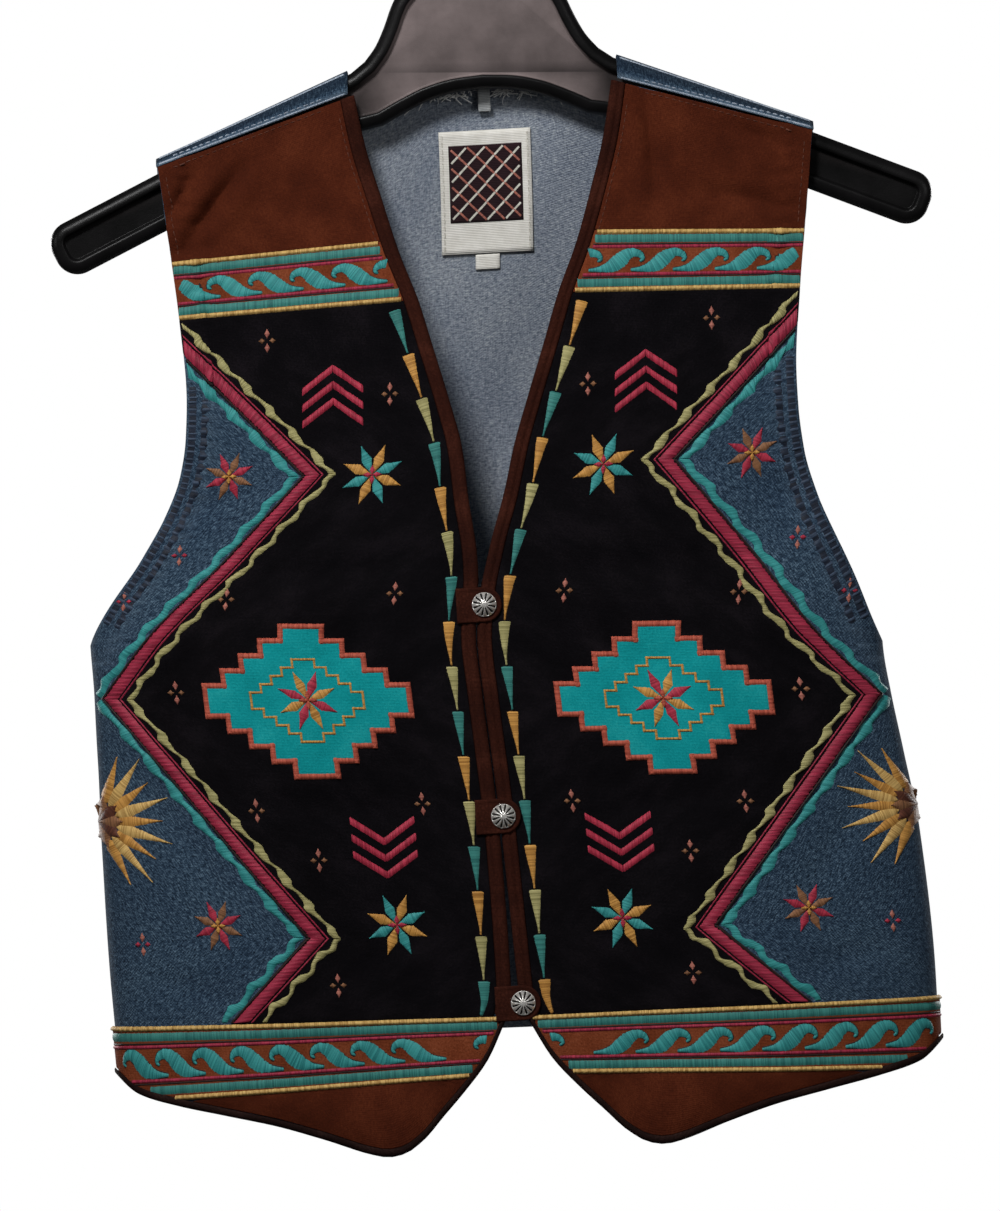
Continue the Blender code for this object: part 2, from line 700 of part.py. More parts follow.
def hanger_outline():
    """The whole outline of the hanger, from the bell's top round by the right arm."""
    slope = math.atan(ARM_SLOPE)
    run = (math.cos(slope), -math.sin(slope))
    across_arm = (-run[1], run[0])
    root = float(ridge_at(ARM_ROOT)) - UNDER_CLOTH
    top_end = (ARM_END, root - ARM_SLOPE * (ARM_END - ARM_ROOT))
    low_end = tuple(t - ARM_TALL * a for t, a in zip(top_end, across_arm))
    half = [(row.out, row.height) for row in BELL]
    half += [(x, root - ARM_SLOPE * (x - ARM_ROOT)) for x in (ARM_ROOT, ARM_MIDDLE)]
    for corner, sign, first in ((top_end, -1, 90), (low_end, 1, 0)):
        steps = zip(corner, run, across_arm)
        centre = [c - ARM_CORNER * r + sign * ARM_CORNER * a for c, r, a in steps]
        turn = math.degrees(slope)
        half += arc_points(centre, ARM_CORNER, first - turn, first - 90 - turn, 6)
    half += [(x, low_end[1] + ARM_SLOPE * (low_end[0] - x)) for x in (ARM_MIDDLE, ARM_ROOT)]
    half += [(row.out, row.height) for row in ARCH]
    return half + [(-x, z) for x, z in half[-2:0:-1]]


def inset(outline, by):
    """The outline moved in by an even rim."""
    points = np.array(outline)
    edges = np.roll(points, -1, axis=0) - points
    edges /= np.linalg.norm(edges, axis=1, keepdims=True)
    inward = np.stack([edges[:, 1], -edges[:, 0]], axis=1)
    mean = inward + np.roll(inward, 1, axis=0)
    mean /= (mean * inward).sum(axis=1, keepdims=True)
    return (points + by * mean).tolist()


def build_hanger():
    """The hanger with a sunk face on both sides, and its hook."""
    outline = hanger_outline()
    body = flat_outline("hanger_body", outline, HANGER_THICK, PLASTIC)
    body.rotation_euler.x = math.pi / 2
    rounding = body.modifiers.new("rounding", "BEVEL")
    rounding.width = HANGER_ROUND
    rounding.segments = 3
    rounding.limit_method = "ANGLE"
    rounding.angle_limit = math.radians(60)
    for name, side in (("front_recess", -1), ("back_recess", 1)):
        cutter = flat_outline(name, inset(outline, RIM), 2 * RECESS, None, cutters)
        cutter.rotation_euler.x = math.pi / 2
        cutter.location.y = side * HANGER_THICK / 2
        cutter.hide_render = True
        cutter.display_type = "WIRE"
        cut = body.modifiers.new(name, "BOOLEAN")
        cut.operation = "DIFFERENCE"
        cut.solver = "EXACT"
        cut.object = cutter
    middle = HOOK_INSIDE + HOOK_WIRE
    path = [(0, BELL[0].height + GAP)] + [(row.out, row.height) for row in HOOK_NECK]
    path += arc_points((0, -HOOK_INSIDE), middle, -12, 205, 18)
    wire = bpy.data.curves.new("hanger_hook", "CURVE")
    wire.dimensions = "3D"
    wire.bevel_depth = HOOK_WIRE
    wire.bevel_resolution = 2
    wire.use_fill_caps = True
    line = wire.splines.new("POLY")
    line.points.add(len(path) - 1)
    for point, (x, z) in zip(line.points, path):
        point.co = (x, 0, z, 1)
    add("hanger_hook", wire, PLASTIC)


def build_hang_loop():
    """A short loop of tape inside the back neck, stood off the denim by a seam gap."""
    wall = LAYER
    outer = [(-LOOP_DEEP / 2, -LOOP_TALL / 2), (LOOP_DEEP / 2, -LOOP_TALL / 2)]
    outer += [(LOOP_DEEP / 2, LOOP_TALL / 2), (-LOOP_DEEP / 2, LOOP_TALL / 2)]
    loop = flat_outline("hang_loop", outer, LOOP_WIDE, GREY_TAPE)
    hole = [(math.copysign(abs(x) - wall, x), math.copysign(abs(y) - wall, y)) for x, y in outer]
    cutter = flat_outline("loop_hole", hole, 2 * LOOP_WIDE, None, cutters)
    cutter.hide_render = True
    cutter.display_type = "WIRE"
    top = cloth(np.array([0.0]), -way_down(np.array([0.0]), LOOP_TOP))[0]
    back = top[1] - DENIM - GAP
    for thing in (loop, cutter):
        thing.rotation_euler = (math.pi / 2, 0, math.pi / 2)
        thing.location = (0, back - LOOP_DEEP / 2, LOOP_TOP - LOOP_TALL / 2)
    cut = loop.modifiers.new("hole", "BOOLEAN")
    cut.operation = "DIFFERENCE"
    cut.solver = "EXACT"
    cut.object = cutter


build_hanger()
build_back()
build_front(-1, "left")
build_front(1, "right")
build_fastenings()
build_hang_loop()
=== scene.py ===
# %% [markdown]
# # A worked denim vest on its hanger
# The vest is sewn from slubby denim. Rust yokes, black panels and striped bands are laid on
# its fronts, and thread is worked over them. The solids of the part already hold its size,
# so this lesson loads them first and then dresses each one in its own cloth.

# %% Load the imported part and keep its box
import math
from collections import namedtuple

import bpy
import numpy as np
from mathutils import Matrix, Vector


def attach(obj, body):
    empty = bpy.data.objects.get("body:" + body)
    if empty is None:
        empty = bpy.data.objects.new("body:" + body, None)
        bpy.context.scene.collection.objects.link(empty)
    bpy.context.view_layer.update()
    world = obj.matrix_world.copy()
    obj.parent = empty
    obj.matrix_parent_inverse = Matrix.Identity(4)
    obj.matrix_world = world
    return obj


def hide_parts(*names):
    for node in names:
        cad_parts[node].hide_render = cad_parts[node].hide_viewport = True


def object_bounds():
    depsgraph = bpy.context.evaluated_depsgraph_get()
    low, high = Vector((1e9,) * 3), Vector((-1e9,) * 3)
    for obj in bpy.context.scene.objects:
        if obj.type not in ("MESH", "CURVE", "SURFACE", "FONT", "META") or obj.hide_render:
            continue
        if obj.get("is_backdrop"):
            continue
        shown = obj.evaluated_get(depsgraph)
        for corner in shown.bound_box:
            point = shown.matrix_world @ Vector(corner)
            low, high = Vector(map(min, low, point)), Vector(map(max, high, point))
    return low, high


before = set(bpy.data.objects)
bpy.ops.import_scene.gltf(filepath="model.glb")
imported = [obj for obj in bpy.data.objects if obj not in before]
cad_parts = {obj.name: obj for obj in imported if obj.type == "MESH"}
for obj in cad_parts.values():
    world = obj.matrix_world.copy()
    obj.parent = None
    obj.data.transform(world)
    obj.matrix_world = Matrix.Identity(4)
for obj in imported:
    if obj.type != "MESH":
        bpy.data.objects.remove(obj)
cad_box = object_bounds()
rng = np.random.default_rng(11)
print("solids loaded:", len(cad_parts))

# %% [markdown]
# ## The sizes of the cut
# A pattern cutter works from a few measured lines: the V, the armhole, the side seam and the
# hem. Each table below is one such line, in metres, for one half of the vest. The middle of
# the hanger is the zero of x, and the rail that carries the hook is the zero of z.

# %% Tables of the cut
Edge = namedtuple("Edge", "height out")
Hem = namedtuple("Hem", "out height")
Fall = namedtuple("Fall", "drop front back")
Sway = namedtuple("Sway", "height shift lean")
Level = namedtuple("Level", "name at_front at_side cells")
BackLevel = namedtuple("BackLevel", "at_middle at_side cells")


def table(kind, rows):
    return [kind(*row) for row in rows]


DENIM, LAYER, GAP, TIP = 0.0012, 0.0010, 0.0003, 0.0001
NECK_OUT, NECK_HEIGHT = 0.0658, -0.1022
SHOULDER_SLOPE, SHOULDER_ROUND = 0.40, 0.0096
SEAM_DROP_AT_NECK, SEAM_DROP_AT_TIP = 0.0120, 0.0040
BACK_NECK_HEIGHT = -0.1130
SIDE_POWER, ROUND_FROM, ROUND_FULL = 3.0, -0.150, -0.360
UNDERARM = -0.385
EDGE_WIDTH, HEM_EDGE_WIDTH = 0.0060, 0.0030
PANEL_MARGIN, POINT_SHARE = 0.0080, 0.455
BACK_HEM_MIDDLE, BACK_HEM_SIDE = -0.5740, -0.5870

FRONT_EDGE = table(Edge, [
    (-0.568, 0.0060), (-0.555, 0.0028), (-0.460, 0.0014), (-0.390, 0.0013), (-0.358, 0.0018),
    (-0.339, 0.0042), (-0.314, 0.0095), (-0.290, 0.0136), (-0.266, 0.0202), (-0.241, 0.0278),
    (-0.217, 0.0350), (-0.193, 0.0441), (-0.168, 0.0516), (-0.140, 0.0592), (-0.102, 0.0658),
])
SIDE = table(Edge, [
    (-0.590, 0.1998), (-0.540, 0.2008), (-0.480, 0.1992), (-0.440, 0.1962), (-0.385, 0.1928),
    (-0.300, 0.1945), (-0.140, 0.2000),
])
ARMHOLE = table(Edge, [
    (-0.385, 0.1928), (-0.376, 0.1886), (-0.360, 0.1806), (-0.339, 0.1688), (-0.318, 0.1584),
    (-0.298, 0.1518), (-0.278, 0.1490), (-0.259, 0.1483), (-0.219, 0.1512), (-0.192, 0.1542),
    (-0.138, 0.1604),
])
ZIGZAG = table(Edge, [
    (-0.565, 0.1397), (-0.525, 0.0978), (-0.411, 0.1876), (-0.300, 0.0890), (-0.237, 0.1500),
])
FRONT_HEM = table(Hem, [
    (0.0060, -0.5675), (0.0160, -0.5862), (0.0275, -0.6000), (0.0390, -0.6120), (0.0500, -0.6233),
    (0.0600, -0.6294), (0.0670, -0.6305), (0.0735, -0.6293), (0.0980, -0.6207), (0.1220, -0.6130),
    (0.1460, -0.6074), (0.1710, -0.6017), (0.1900, -0.5957), (0.2003, -0.5865),
])
FALL = table(Fall, [
    (0.0096, 0.0096, 0.0096), (0.060, 0.0135, 0.0130), (0.120, 0.0230, 0.0210), (0.200, 0.0350, 0.0320),
    (0.275, 0.0420, 0.0390), (0.400, 0.0440, 0.0410), (0.550, 0.0430, 0.0400),
])
SWAY = table(Sway, [
    (-0.630, -0.0060, -0.012), (-0.560, -0.0068, -0.024), (-0.480, -0.0090, -0.037),
    (-0.410, -0.0135, -0.055), (-0.385, -0.0150, -0.055), (-0.340, -0.0095, -0.032),
    (-0.280, -0.0045, -0.011), (-0.200, -0.0024, -0.008), (-0.100, 0.0000, 0.000),
])
LEAD = -0.0046
print("front hem points:", len(FRONT_HEM))

# %% [markdown]
# ## Where the cloth hangs
# All pieces share one surface: a point is named by its distance from the middle and by the
# way down from the shoulder ridge. The denim, the pieces laid on it and the thread on those
# are then the same surface moved out by a little more each time, so nothing cuts through.
# The soft folds of the hanging cloth are in the solids too. The creases below them are finer:
# each row of that table is one trough or ridge, and no two are alike.

# %% Folds and creases
Fold = namedtuple("Fold", "face x0 z0 x1 z1 width depth")
FOLDS = table(Fold, [
    (1, -0.150, -0.300, -0.080, -0.385, 0.020, -0.0035),
    (1, 0.150, -0.310, 0.090, -0.390, 0.020, -0.0030),
    (1, -0.095, -0.370, -0.125, -0.600, 0.026, 0.0045),
    (1, 0.100, -0.380, 0.130, -0.600, 0.026, 0.0045),
    (1, -0.050, -0.450, -0.060, -0.600, 0.020, -0.0025),
    (1, 0.055, -0.460, 0.062, -0.600, 0.020, -0.0025),
    (-1, -0.060, -0.260, -0.090, -0.570, 0.028, 0.0060),
    (-1, 0.065, -0.250, 0.085, -0.570, 0.028, 0.0060),
    (-1, 0.000, -0.330, -0.005, -0.570, 0.026, -0.0040),
    (-1, -0.140, -0.300, -0.150, -0.560, 0.022, -0.0035),
    (-1, 0.140, -0.310, 0.150, -0.560, 0.022, -0.0035),
])
CREASES = table(Fold, [
    (1, -0.1470, -0.1830, -0.1190, -0.1470, 0.0036, -0.0045),
    (1, -0.1500, -0.1760, -0.1330, -0.1500, 0.0036, 0.0027),
    (1, -0.1550, -0.1700, -0.1430, -0.1480, 0.0032, -0.0033),
    (1, -0.1330, -0.1800, -0.1100, -0.1500, 0.0050, 0.0021),
    (1, -0.1540, -0.1870, -0.1350, -0.1845, 0.0030, -0.0024),
    (1, 0.0790, -0.1220, 0.0820, -0.1760, 0.0030, -0.0030),
    (1, 0.1520, -0.1820, 0.1040, -0.1700, 0.0046, -0.0027),
    (1, 0.1480, -0.1520, 0.1180, -0.1400, 0.0040, -0.0023),
    (1, -0.034, -0.345, -0.112, -0.352, 0.0070, -0.0019),
    (1, -0.026, -0.468, -0.118, -0.460, 0.0080, -0.0020),
    (1, -0.118, -0.470, -0.062, -0.548, 0.0070, -0.0017),
    (1, -0.150, -0.372, -0.160, -0.440, 0.0065, 0.0017),
    (1, -0.060, -0.240, -0.085, -0.292, 0.0055, -0.0015),
    (1, -0.022, -0.392, -0.030, -0.470, 0.0055, 0.0015),
    (1, 0.030, -0.350, 0.120, -0.347, 0.0075, -0.0020),
    (1, 0.024, -0.474, 0.110, -0.458, 0.0075, -0.0019),
    (1, 0.125, -0.478, 0.070, -0.552, 0.0080, -0.0017),
    (1, 0.158, -0.366, 0.148, -0.445, 0.0060, 0.0019),
    (1, 0.066, -0.236, 0.092, -0.286, 0.0060, -0.0017),
    (1, 0.020, -0.400, 0.027, -0.485, 0.0050, 0.0014),
    (1, -0.188, -0.430, -0.140, -0.500, 0.0075, -0.0020),
    (1, -0.186, -0.540, -0.130, -0.556, 0.0065, -0.0015),
    (1, 0.188, -0.440, 0.146, -0.508, 0.0080, -0.0022),
    (1, 0.182, -0.536, 0.136, -0.550, 0.0060, -0.0015),
    (1, -0.156, -0.318, -0.112, -0.306, 0.0060, -0.0017),
    (1, 0.154, -0.326, 0.116, -0.302, 0.0060, -0.0020),
    (-1, -0.130, -0.190, -0.060, -0.240, 0.0090, -0.0020),
    (-1, 0.135, -0.186, 0.050, -0.246, 0.0100, -0.0022),
    (-1, -0.150, -0.330, -0.050, -0.360, 0.0100, -0.0022),
    (-1, 0.150, -0.340, 0.062, -0.378, 0.0090, -0.0020),
    (-1, -0.120, -0.420, -0.030, -0.452, 0.0110, -0.0018),
    (-1, 0.124, -0.450, 0.020, -0.470, 0.0100, -0.0019),
    (-1, -0.025, -0.500, -0.040, -0.566, 0.0090, 0.0018),
    (-1, 0.040, -0.490, 0.052, -0.568, 0.0080, 0.0016),
    (-1, 0.008, -0.210, -0.012, -0.300, 0.0080, -0.0010),
    (-1, -0.040, -0.205, -0.028, -0.290, 0.0070, 0.0008),
])
print("folds and creases:", len(FOLDS), len(CREASES))

# %% Curves through the tables
def smooth(at, knots, values):
    """A smooth curve through the values that never passes them."""
    at, knots, values = (np.asarray(a, float) for a in (at, knots, values))
    step = np.diff(knots)
    rise = np.diff(values) / step
    slope = np.concatenate([rise[:1], np.zeros(len(knots) - 2), rise[-1:]])
    total = rise[:-1] + rise[1:]
    same = rise[:-1] * rise[1:] > 0
    slope[1:-1][same] = 2 * (rise[:-1] * rise[1:])[same] / total[same]
    k = np.clip(np.searchsorted(knots, at) - 1, 0, len(step) - 1)
    t = np.clip((at - knots[k]) / step[k], 0, 1)
    ends = (1 + 2 * t) * (1 - t) ** 2 * values[k] + t * t * (3 - 2 * t) * values[k + 1]
    bends = t * (1 - t) ** 2 * slope[k] - t * t * (1 - t) * slope[k + 1]
    return ends + bends * step[k]


def column(table, name):
    return [getattr(row, name) for row in table]


def unit(rows):
    """The same directions, each of length one."""
    return rows / np.linalg.norm(rows, axis=-1, keepdims=True)


def arc_of(line):
    """The way along a line of points, to each of them."""
    return np.concatenate([[0], np.cumsum(np.linalg.norm(np.diff(line, axis=0), axis=1))])


def sampled(line, at):
    """Points of a line, at places counted in its own points."""
    return np.stack([np.interp(at, np.arange(len(line)), part) for part in line.T], axis=1)


def pairs(first, second):
    return np.stack([first, second], axis=1)


def out_at(table, height):
    return smooth(height, column(table, "height"), column(table, "out"))


def hem_at(x):
    return smooth(np.abs(x), column(FRONT_HEM, "out"), column(FRONT_HEM, "height"))


def side_at(height):
    """The side edge of front and back: the armhole, and the side seam below it."""
    return np.where(height > UNDERARM, out_at(ARMHOLE, height), out_at(SIDE, height))


def ridge_at(x):
    return NECK_HEIGHT - SHOULDER_SLOPE * (np.abs(x) - NECK_OUT)


def way_down(x, height):
    """The way along the cloth from the shoulder ridge down to a height."""
    drop = np.maximum(ridge_at(x) - height, 0)
    turn = np.arccos(np.clip(1 - drop / SHOULDER_ROUND, 0, 1))
    return SHOULDER_ROUND * turn + np.maximum(drop - SHOULDER_ROUND, 0)

# %% How the folds, the creases and the armhole hems lift the cloth
ARM_HEM, ARM_RISE, PUCKER, PUCKER_RUN = 0.0135, 0.0006, 0.0005, 0.0066


def ease(share):
    share = np.clip(share, 0, 1)
    return share * share * (3 - 2 * share)


def armhole_slope(z, step=0.001):
    return (out_at(ARMHOLE, z + step) - out_at(ARMHOLE, z - step)) / (2 * step)


def from_armhole(x, z):
    """How far a point is from the armhole's edge."""
    slope = armhole_slope(z)
    beside = (out_at(ARMHOLE, z) - np.abs(x)) / np.sqrt(1 + slope**2)
    below = np.hypot(ARMHOLE[0].out - np.abs(x), UNDERARM - z)
    return np.where(z > UNDERARM, beside, below)


def folded(x, z, face):
    """How far the cloth stands out at a point because of its folds, creases and hems."""
    lift = np.zeros_like(x)
    for table, tapers in ((FOLDS, False), (CREASES, True)):
        for fold in table:
            run_x, run_z = fold.x1 - fold.x0, fold.z1 - fold.z0
            share = ((x - fold.x0) * run_x + (z - fold.z0) * run_z) / (run_x**2 + run_z**2)
            held = np.clip(share, 0, 1)
            away = np.hypot(x - fold.x0 - held * run_x, z - fold.z0 - held * run_z)
            bump = fold.depth * np.exp(-((away / fold.width) ** 2))
            if tapers:
                bump = bump * (0.35 + 0.65 * np.sin(math.pi * held))
            lift = lift + np.where(face == fold.face, bump, 0)
    edge = from_armhole(x, z)
    ripple = np.sin(z * 2 * math.pi / PUCKER_RUN + 2.0 * np.sin(z * 90))
    lift = lift + ARM_RISE * ease((ARM_HEM - edge) / 0.0015) * (z > UNDERARM)
    return lift + PUCKER * ripple * np.exp(-(((edge - 0.0118) / 0.0040) ** 2))


def cloth(x, way):
    """Points of the denim's outer face; a plus way runs down the front, a minus way down the back."""
    face = np.where(way < 0, -1, 1)
    turn = np.minimum(np.abs(way) / SHOULDER_ROUND, math.pi / 2)
    past = np.maximum(np.abs(way) - SHOULDER_ROUND * math.pi / 2, 0)
    drop = SHOULDER_ROUND * (1 - np.cos(turn)) + past
    z = ridge_at(x) - drop
    drops = column(FALL, "drop")
    fall = np.where(face > 0, smooth(drop, drops, column(FALL, "front")),
                    smooth(drop, drops, column(FALL, "back")))
    depth = np.where(past > 0, fall, SHOULDER_ROUND * np.sin(turn))
    grown = ease((ROUND_FROM - z) / (ROUND_FROM - ROUND_FULL))
    reach = np.clip(np.abs(x) / out_at(SIDE, z), 0, 1)
    flat = (1 - grown * reach**SIDE_POWER) ** (1 / SIDE_POWER)
    y = -face * (depth + folded(x, z, face)) * flat
    heights = column(SWAY, "height")
    shift = smooth(z, heights, column(SWAY, "shift")) + LEAD * grown * (1 - reach**2)
    return np.stack([x + shift, y, z + smooth(z, heights, column(SWAY, "lean")) * x], axis=-1)


def place_at(x, z, face=1):
    """Points of the outer face at distances from the middle and heights, and the way out there."""
    way = face * way_down(x, z)
    along = cloth(x + TIP, way) - cloth(x - TIP, way)
    down = cloth(x, way + TIP) - cloth(x, way - TIP)
    out = np.cross(along, down)
    hint = np.stack([x / (2 * SIDE[0].out), np.full_like(x, -face), np.zeros_like(x)], axis=-1)
    out = out * np.sign((out * hint).sum(axis=-1, keepdims=True))
    return cloth(x, way), out / np.maximum(np.linalg.norm(out, axis=-1, keepdims=True), 1e-12)

# %% [markdown]
# ## The grid of a front
# A front is laid out in rows that follow its sewing lines, from the hem up to the shoulder
# seam, and in columns that split at the binding and at the zigzag of the panel. Each piece
# laid on the front is then a block of those rows and columns, so its edges meet the seams.

# %% Rows and columns of a front
LEVELS = table(Level, [
    ("hem_band_foot", -0.5940, -0.6010, 12), ("hem_band_head", -0.5660, -0.5645, 14),
    ("lower_corner", -0.5250, -0.5250, 40), ("side_corner", -0.4110, -0.4110, 12),
    ("underarm", UNDERARM, UNDERARM, 30), ("upper_corner", -0.3000, -0.3000, 24),
    ("panel_top", -0.2370, -0.2370, 8), ("yoke_band_foot", -0.2170, -0.2205, 12),
    ("yoke_band_head", -0.1870, -0.1920, 30), ("shoulder_seam", -0.1142, -0.1441, 0),
])
FRONT_CELLS = (4, 16, 20, 28)
EDGE_COLUMN, ZIGZAG_COLUMN, SIDE_COLUMN = np.cumsum(FRONT_CELLS)[[0, 2, 3]]
SIDE_SEAM_BACK, SHOULDER_SEAM_BACK = 0.00045, 0.0009


def front_rows():
    rows, named = [("hem", 0.0, 0.0), ("hem_edge", 0.0, 0.0)], {"hem": 0, "hem_edge": 1}
    for level, above in zip(LEVELS, LEVELS[1:] + LEVELS[-1:]):
        named[level.name] = len(rows)
        for k in range(max(level.cells, 1)):
            share = k / max(level.cells, 1)
            at_front = level.at_front + share * (above.at_front - level.at_front)
            rows.append((level.name, at_front, level.at_side + share * (above.at_side - level.at_side)))
    return rows, named


ROWS, ROW = front_rows()
print("rows of a front:", len(ROWS), "columns:", SIDE_COLUMN + 1)

# %% Points across one row
def across(x, height, face, joints, cells):
    """Points and outward directions across one row, at set ways along it."""
    line, out = place_at(x, height, face)
    arc = arc_of(line)
    marks = joints(arc)
    steps = [np.linspace(a, b, n, endpoint=False) for a, b, n in zip(marks[:-1], marks[1:], cells)]
    at = np.concatenate([*steps, marks[-1:]])
    points = np.stack([np.interp(at, arc, line[:, k]) for k in range(3)], axis=1)
    out = np.stack([np.interp(at, arc, out[:, k]) for k in range(3)], axis=1)
    return points, unit(out)


def front_grid(side):
    """The points and outward directions of one front, row by row from the hem."""
    points, outward = [], []
    for name, at_front, at_side in ROWS:
        low = name in ("hem", "hem_edge")
        start = FRONT_EDGE[0].out if low else out_at(FRONT_EDGE, at_front)
        end = SIDE[0].out if low else side_at(at_side)
        share = np.sin(np.linspace(0, math.pi / 2, 400))
        x = start + (end - start) * share
        height = at_front + (at_side - at_front) * share
        if low:
            height = hem_at(x) + (0 if name == "hem" else HEM_EDGE_WIDTH)
        if name == "shoulder_seam":
            height = height - SHOULDER_SEAM_BACK
        zigzag = np.interp(at_side, column(ZIGZAG, "height"), column(ZIGZAG, "out"))
        seam = SIDE_SEAM_BACK if low or at_side <= UNDERARM else 0

        def joints(arc):
            turn = min(np.interp(zigzag, x, arc), arc[-1] - PANEL_MARGIN)
            point = EDGE_WIDTH + POINT_SHARE * (turn - EDGE_WIDTH)
            return np.array([0, EDGE_WIDTH, point, turn, arc[-1] - seam])

        row, out = across(side * x, height, 1, joints, FRONT_CELLS)
        points.append(row)
        outward.append(out)
    points, outward = np.array(points), np.array(outward)
    for row in range(ROW["hem_edge"] + 1, ROW["hem_band_head"] + 1):
        short = points[row, :, 2] < points[row - 1, :, 2] + 0.0002
        points[row, short] = points[row - 1, short]
        outward[row, short] = outward[row - 1, short]
    return points, outward


GRID = {side: front_grid(side) for side in (-1, 1)}
NAME = {-1: "left", 1: "right"}
print("points of a front:", GRID[1][0].shape)

# %% [markdown]
# ## Finishes
# Cloth is never one colour. Denim is dyed in its warp only, so pale weft shows through as
# slubs and flecks, and it fades where it rubs. Brushed cotton has a soft, cloudy nap. Worked
# thread shines a little and changes tone from stitch to stitch. Each finish is built from
# noise and waves at the scale of the real yarn, with its bump from the same nodes.

# %% Helpers for node finishes
def linear(red, green, blue):
    """A colour as seen on a screen, 0 to 255, as the renderer's own linear colour."""
    screen = np.array([red, green, blue]) / 255
    return (*np.where(screen <= 0.04045, screen / 12.92, ((screen + 0.055) / 1.055) ** 2.4), 1.0)


def new_finish(name, roughness=0.85, sheen=0.0, metallic=0.0, specular=0.05):
    material = bpy.data.materials.new(name)
    material.use_nodes = True
    shader = material.node_tree.nodes["Principled BSDF"]
    shader.inputs["Specular IOR Level"].default_value = 0.5 if metallic else specular
    shader.inputs["Roughness"].default_value = roughness
    shader.inputs["Sheen Weight"].default_value = sheen
    shader.inputs["Metallic"].default_value = metallic
    return material, material.node_tree, shader


def node(tree, kind, inputs=None, **settings):
    """A node with its settings; an input is a value, or an output socket to link."""
    made = tree.nodes.new(kind)
    for key, value in settings.items():
        setattr(made, key, value)
    for key, value in (inputs or {}).items():
        if isinstance(value, bpy.types.NodeSocket):
            tree.links.new(value, made.inputs[key])
        else:
            made.inputs[key].default_value = value
    return made


def stretched(tree, source, scale, turn=0.0):
    """Coordinates stretched, and turned in their own plane."""
    return node(tree, "ShaderNodeMapping", {"Vector": source, "Scale": scale,
                "Rotation": (0, 0, math.radians(turn))}).outputs[0]


def noise(tree, vector, scale=1.0, detail=2.0, roughness=0.5):
    return node(tree, "ShaderNodeTexNoise", {"Vector": vector, "Scale": scale, "Detail": detail,
                "Roughness": roughness}).outputs["Fac"]


def ramp(tree, factor, stops):
    """Colours along a factor; stops are pairs of place and colour."""
    made = node(tree, "ShaderNodeValToRGB", {"Fac": factor})
    ends = made.color_ramp.elements
    for stop, (place, colour) in zip(ends, (stops[0], stops[-1])):
        stop.position, stop.color = place, colour
    for place, colour in stops[1:-1]:
        ends.new(place).color = colour
    return made.outputs["Color"]


def mix(tree, factor, first, second, how="MIX"):
    made = node(tree, "ShaderNodeMix", data_type="RGBA", blend_type=how)
    for index, value in ((0, factor), (6, first), (7, second)):
        if isinstance(value, bpy.types.NodeSocket):
            tree.links.new(value, made.inputs[index])
        else:
            made.inputs[index].default_value = value
    return made.outputs[2]


def bumped(tree, shader, heights):
    """Bumps one on another; each is a pair of height and depth in metres."""
    normal = None
    for height, depth in heights:
        inputs = {"Height": height, "Distance": depth, "Strength": 1.0}
        if normal:
            inputs["Normal"] = normal
        normal = node(tree, "ShaderNodeBump", inputs).outputs[0]
    tree.links.new(normal, shader.inputs["Normal"])

# %% Denim, on its blue face and on its pale wrong side
def denim_finish(name, dark, middle, pale, worn, streak):
    """Slubs along the warp, flecks of weft, a fine twill, and wear; a minus wear is unfaded."""
    material, tree, shader = new_finish(name, 0.92, 0.04)
    weave = node(tree, "ShaderNodeUVMap", uv_map="weave").outputs[0]
    warp = noise(tree, stretched(tree, weave, (1300, 360, 1)), 1.0, 4.0, 0.70)
    weft = noise(tree, stretched(tree, weave, (420, 1200, 1)), 1.0, 3.0, 0.65)
    fleck = mix(tree, 0.5 - 0.2 * streak, warp, weft)
    colour = ramp(tree, fleck, [(0.37, dark), (0.50, middle), (0.65, pale)])
    cloud = noise(tree, stretched(tree, weave, (26, 18, 1)), 1.0, 3.0, 0.55)
    cloudy = ramp(tree, cloud, [(0.3, (0.80, 0.82, 0.86, 1)), (0.7, (1.16, 1.14, 1.10, 1))])
    colour = mix(tree, 1.0, colour, cloudy, "MULTIPLY")
    rub = node(tree, "ShaderNodeAttribute", attribute_name="wear").outputs["Fac"]
    patchy = node(tree, "ShaderNodeMath", {0: rub, 1: fleck}, operation="MULTIPLY").outputs[0]
    strong = node(tree, "ShaderNodeMath", {0: patchy, 1: 1.6}, operation="MULTIPLY", use_clamp=True)
    deep = node(tree, "ShaderNodeMath", {0: rub, 1: -1.0}, operation="MULTIPLY",
                use_clamp=True).outputs[0]
    colour = mix(tree, deep, mix(tree, strong.outputs[0], colour, worn), dark)
    tree.links.new(colour, shader.inputs["Base Color"])
    slant = stretched(tree, weave, (1, 1, 1), 58)
    twill = node(tree, "ShaderNodeTexWave", {"Vector": slant, "Scale": 300.0, "Distortion": 0.6,
                 "Detail": 1.0, "Detail Scale": 2.0}).outputs["Fac"]
    bumped(tree, shader, [(twill, 0.00012), (fleck, 0.00035)])
    return material


DENIM_BLUE = denim_finish("denim_blue", linear(15, 24, 36), linear(43, 61, 80), linear(98, 121, 140),
                          linear(112, 132, 150), 1.0)
DENIM_PALE = denim_finish("denim_wrong_side", linear(84, 92, 106), linear(128, 136, 148),
                          linear(172, 178, 184), linear(206, 210, 212), -0.6)
print("denim finishes:", DENIM_BLUE.name, DENIM_PALE.name)

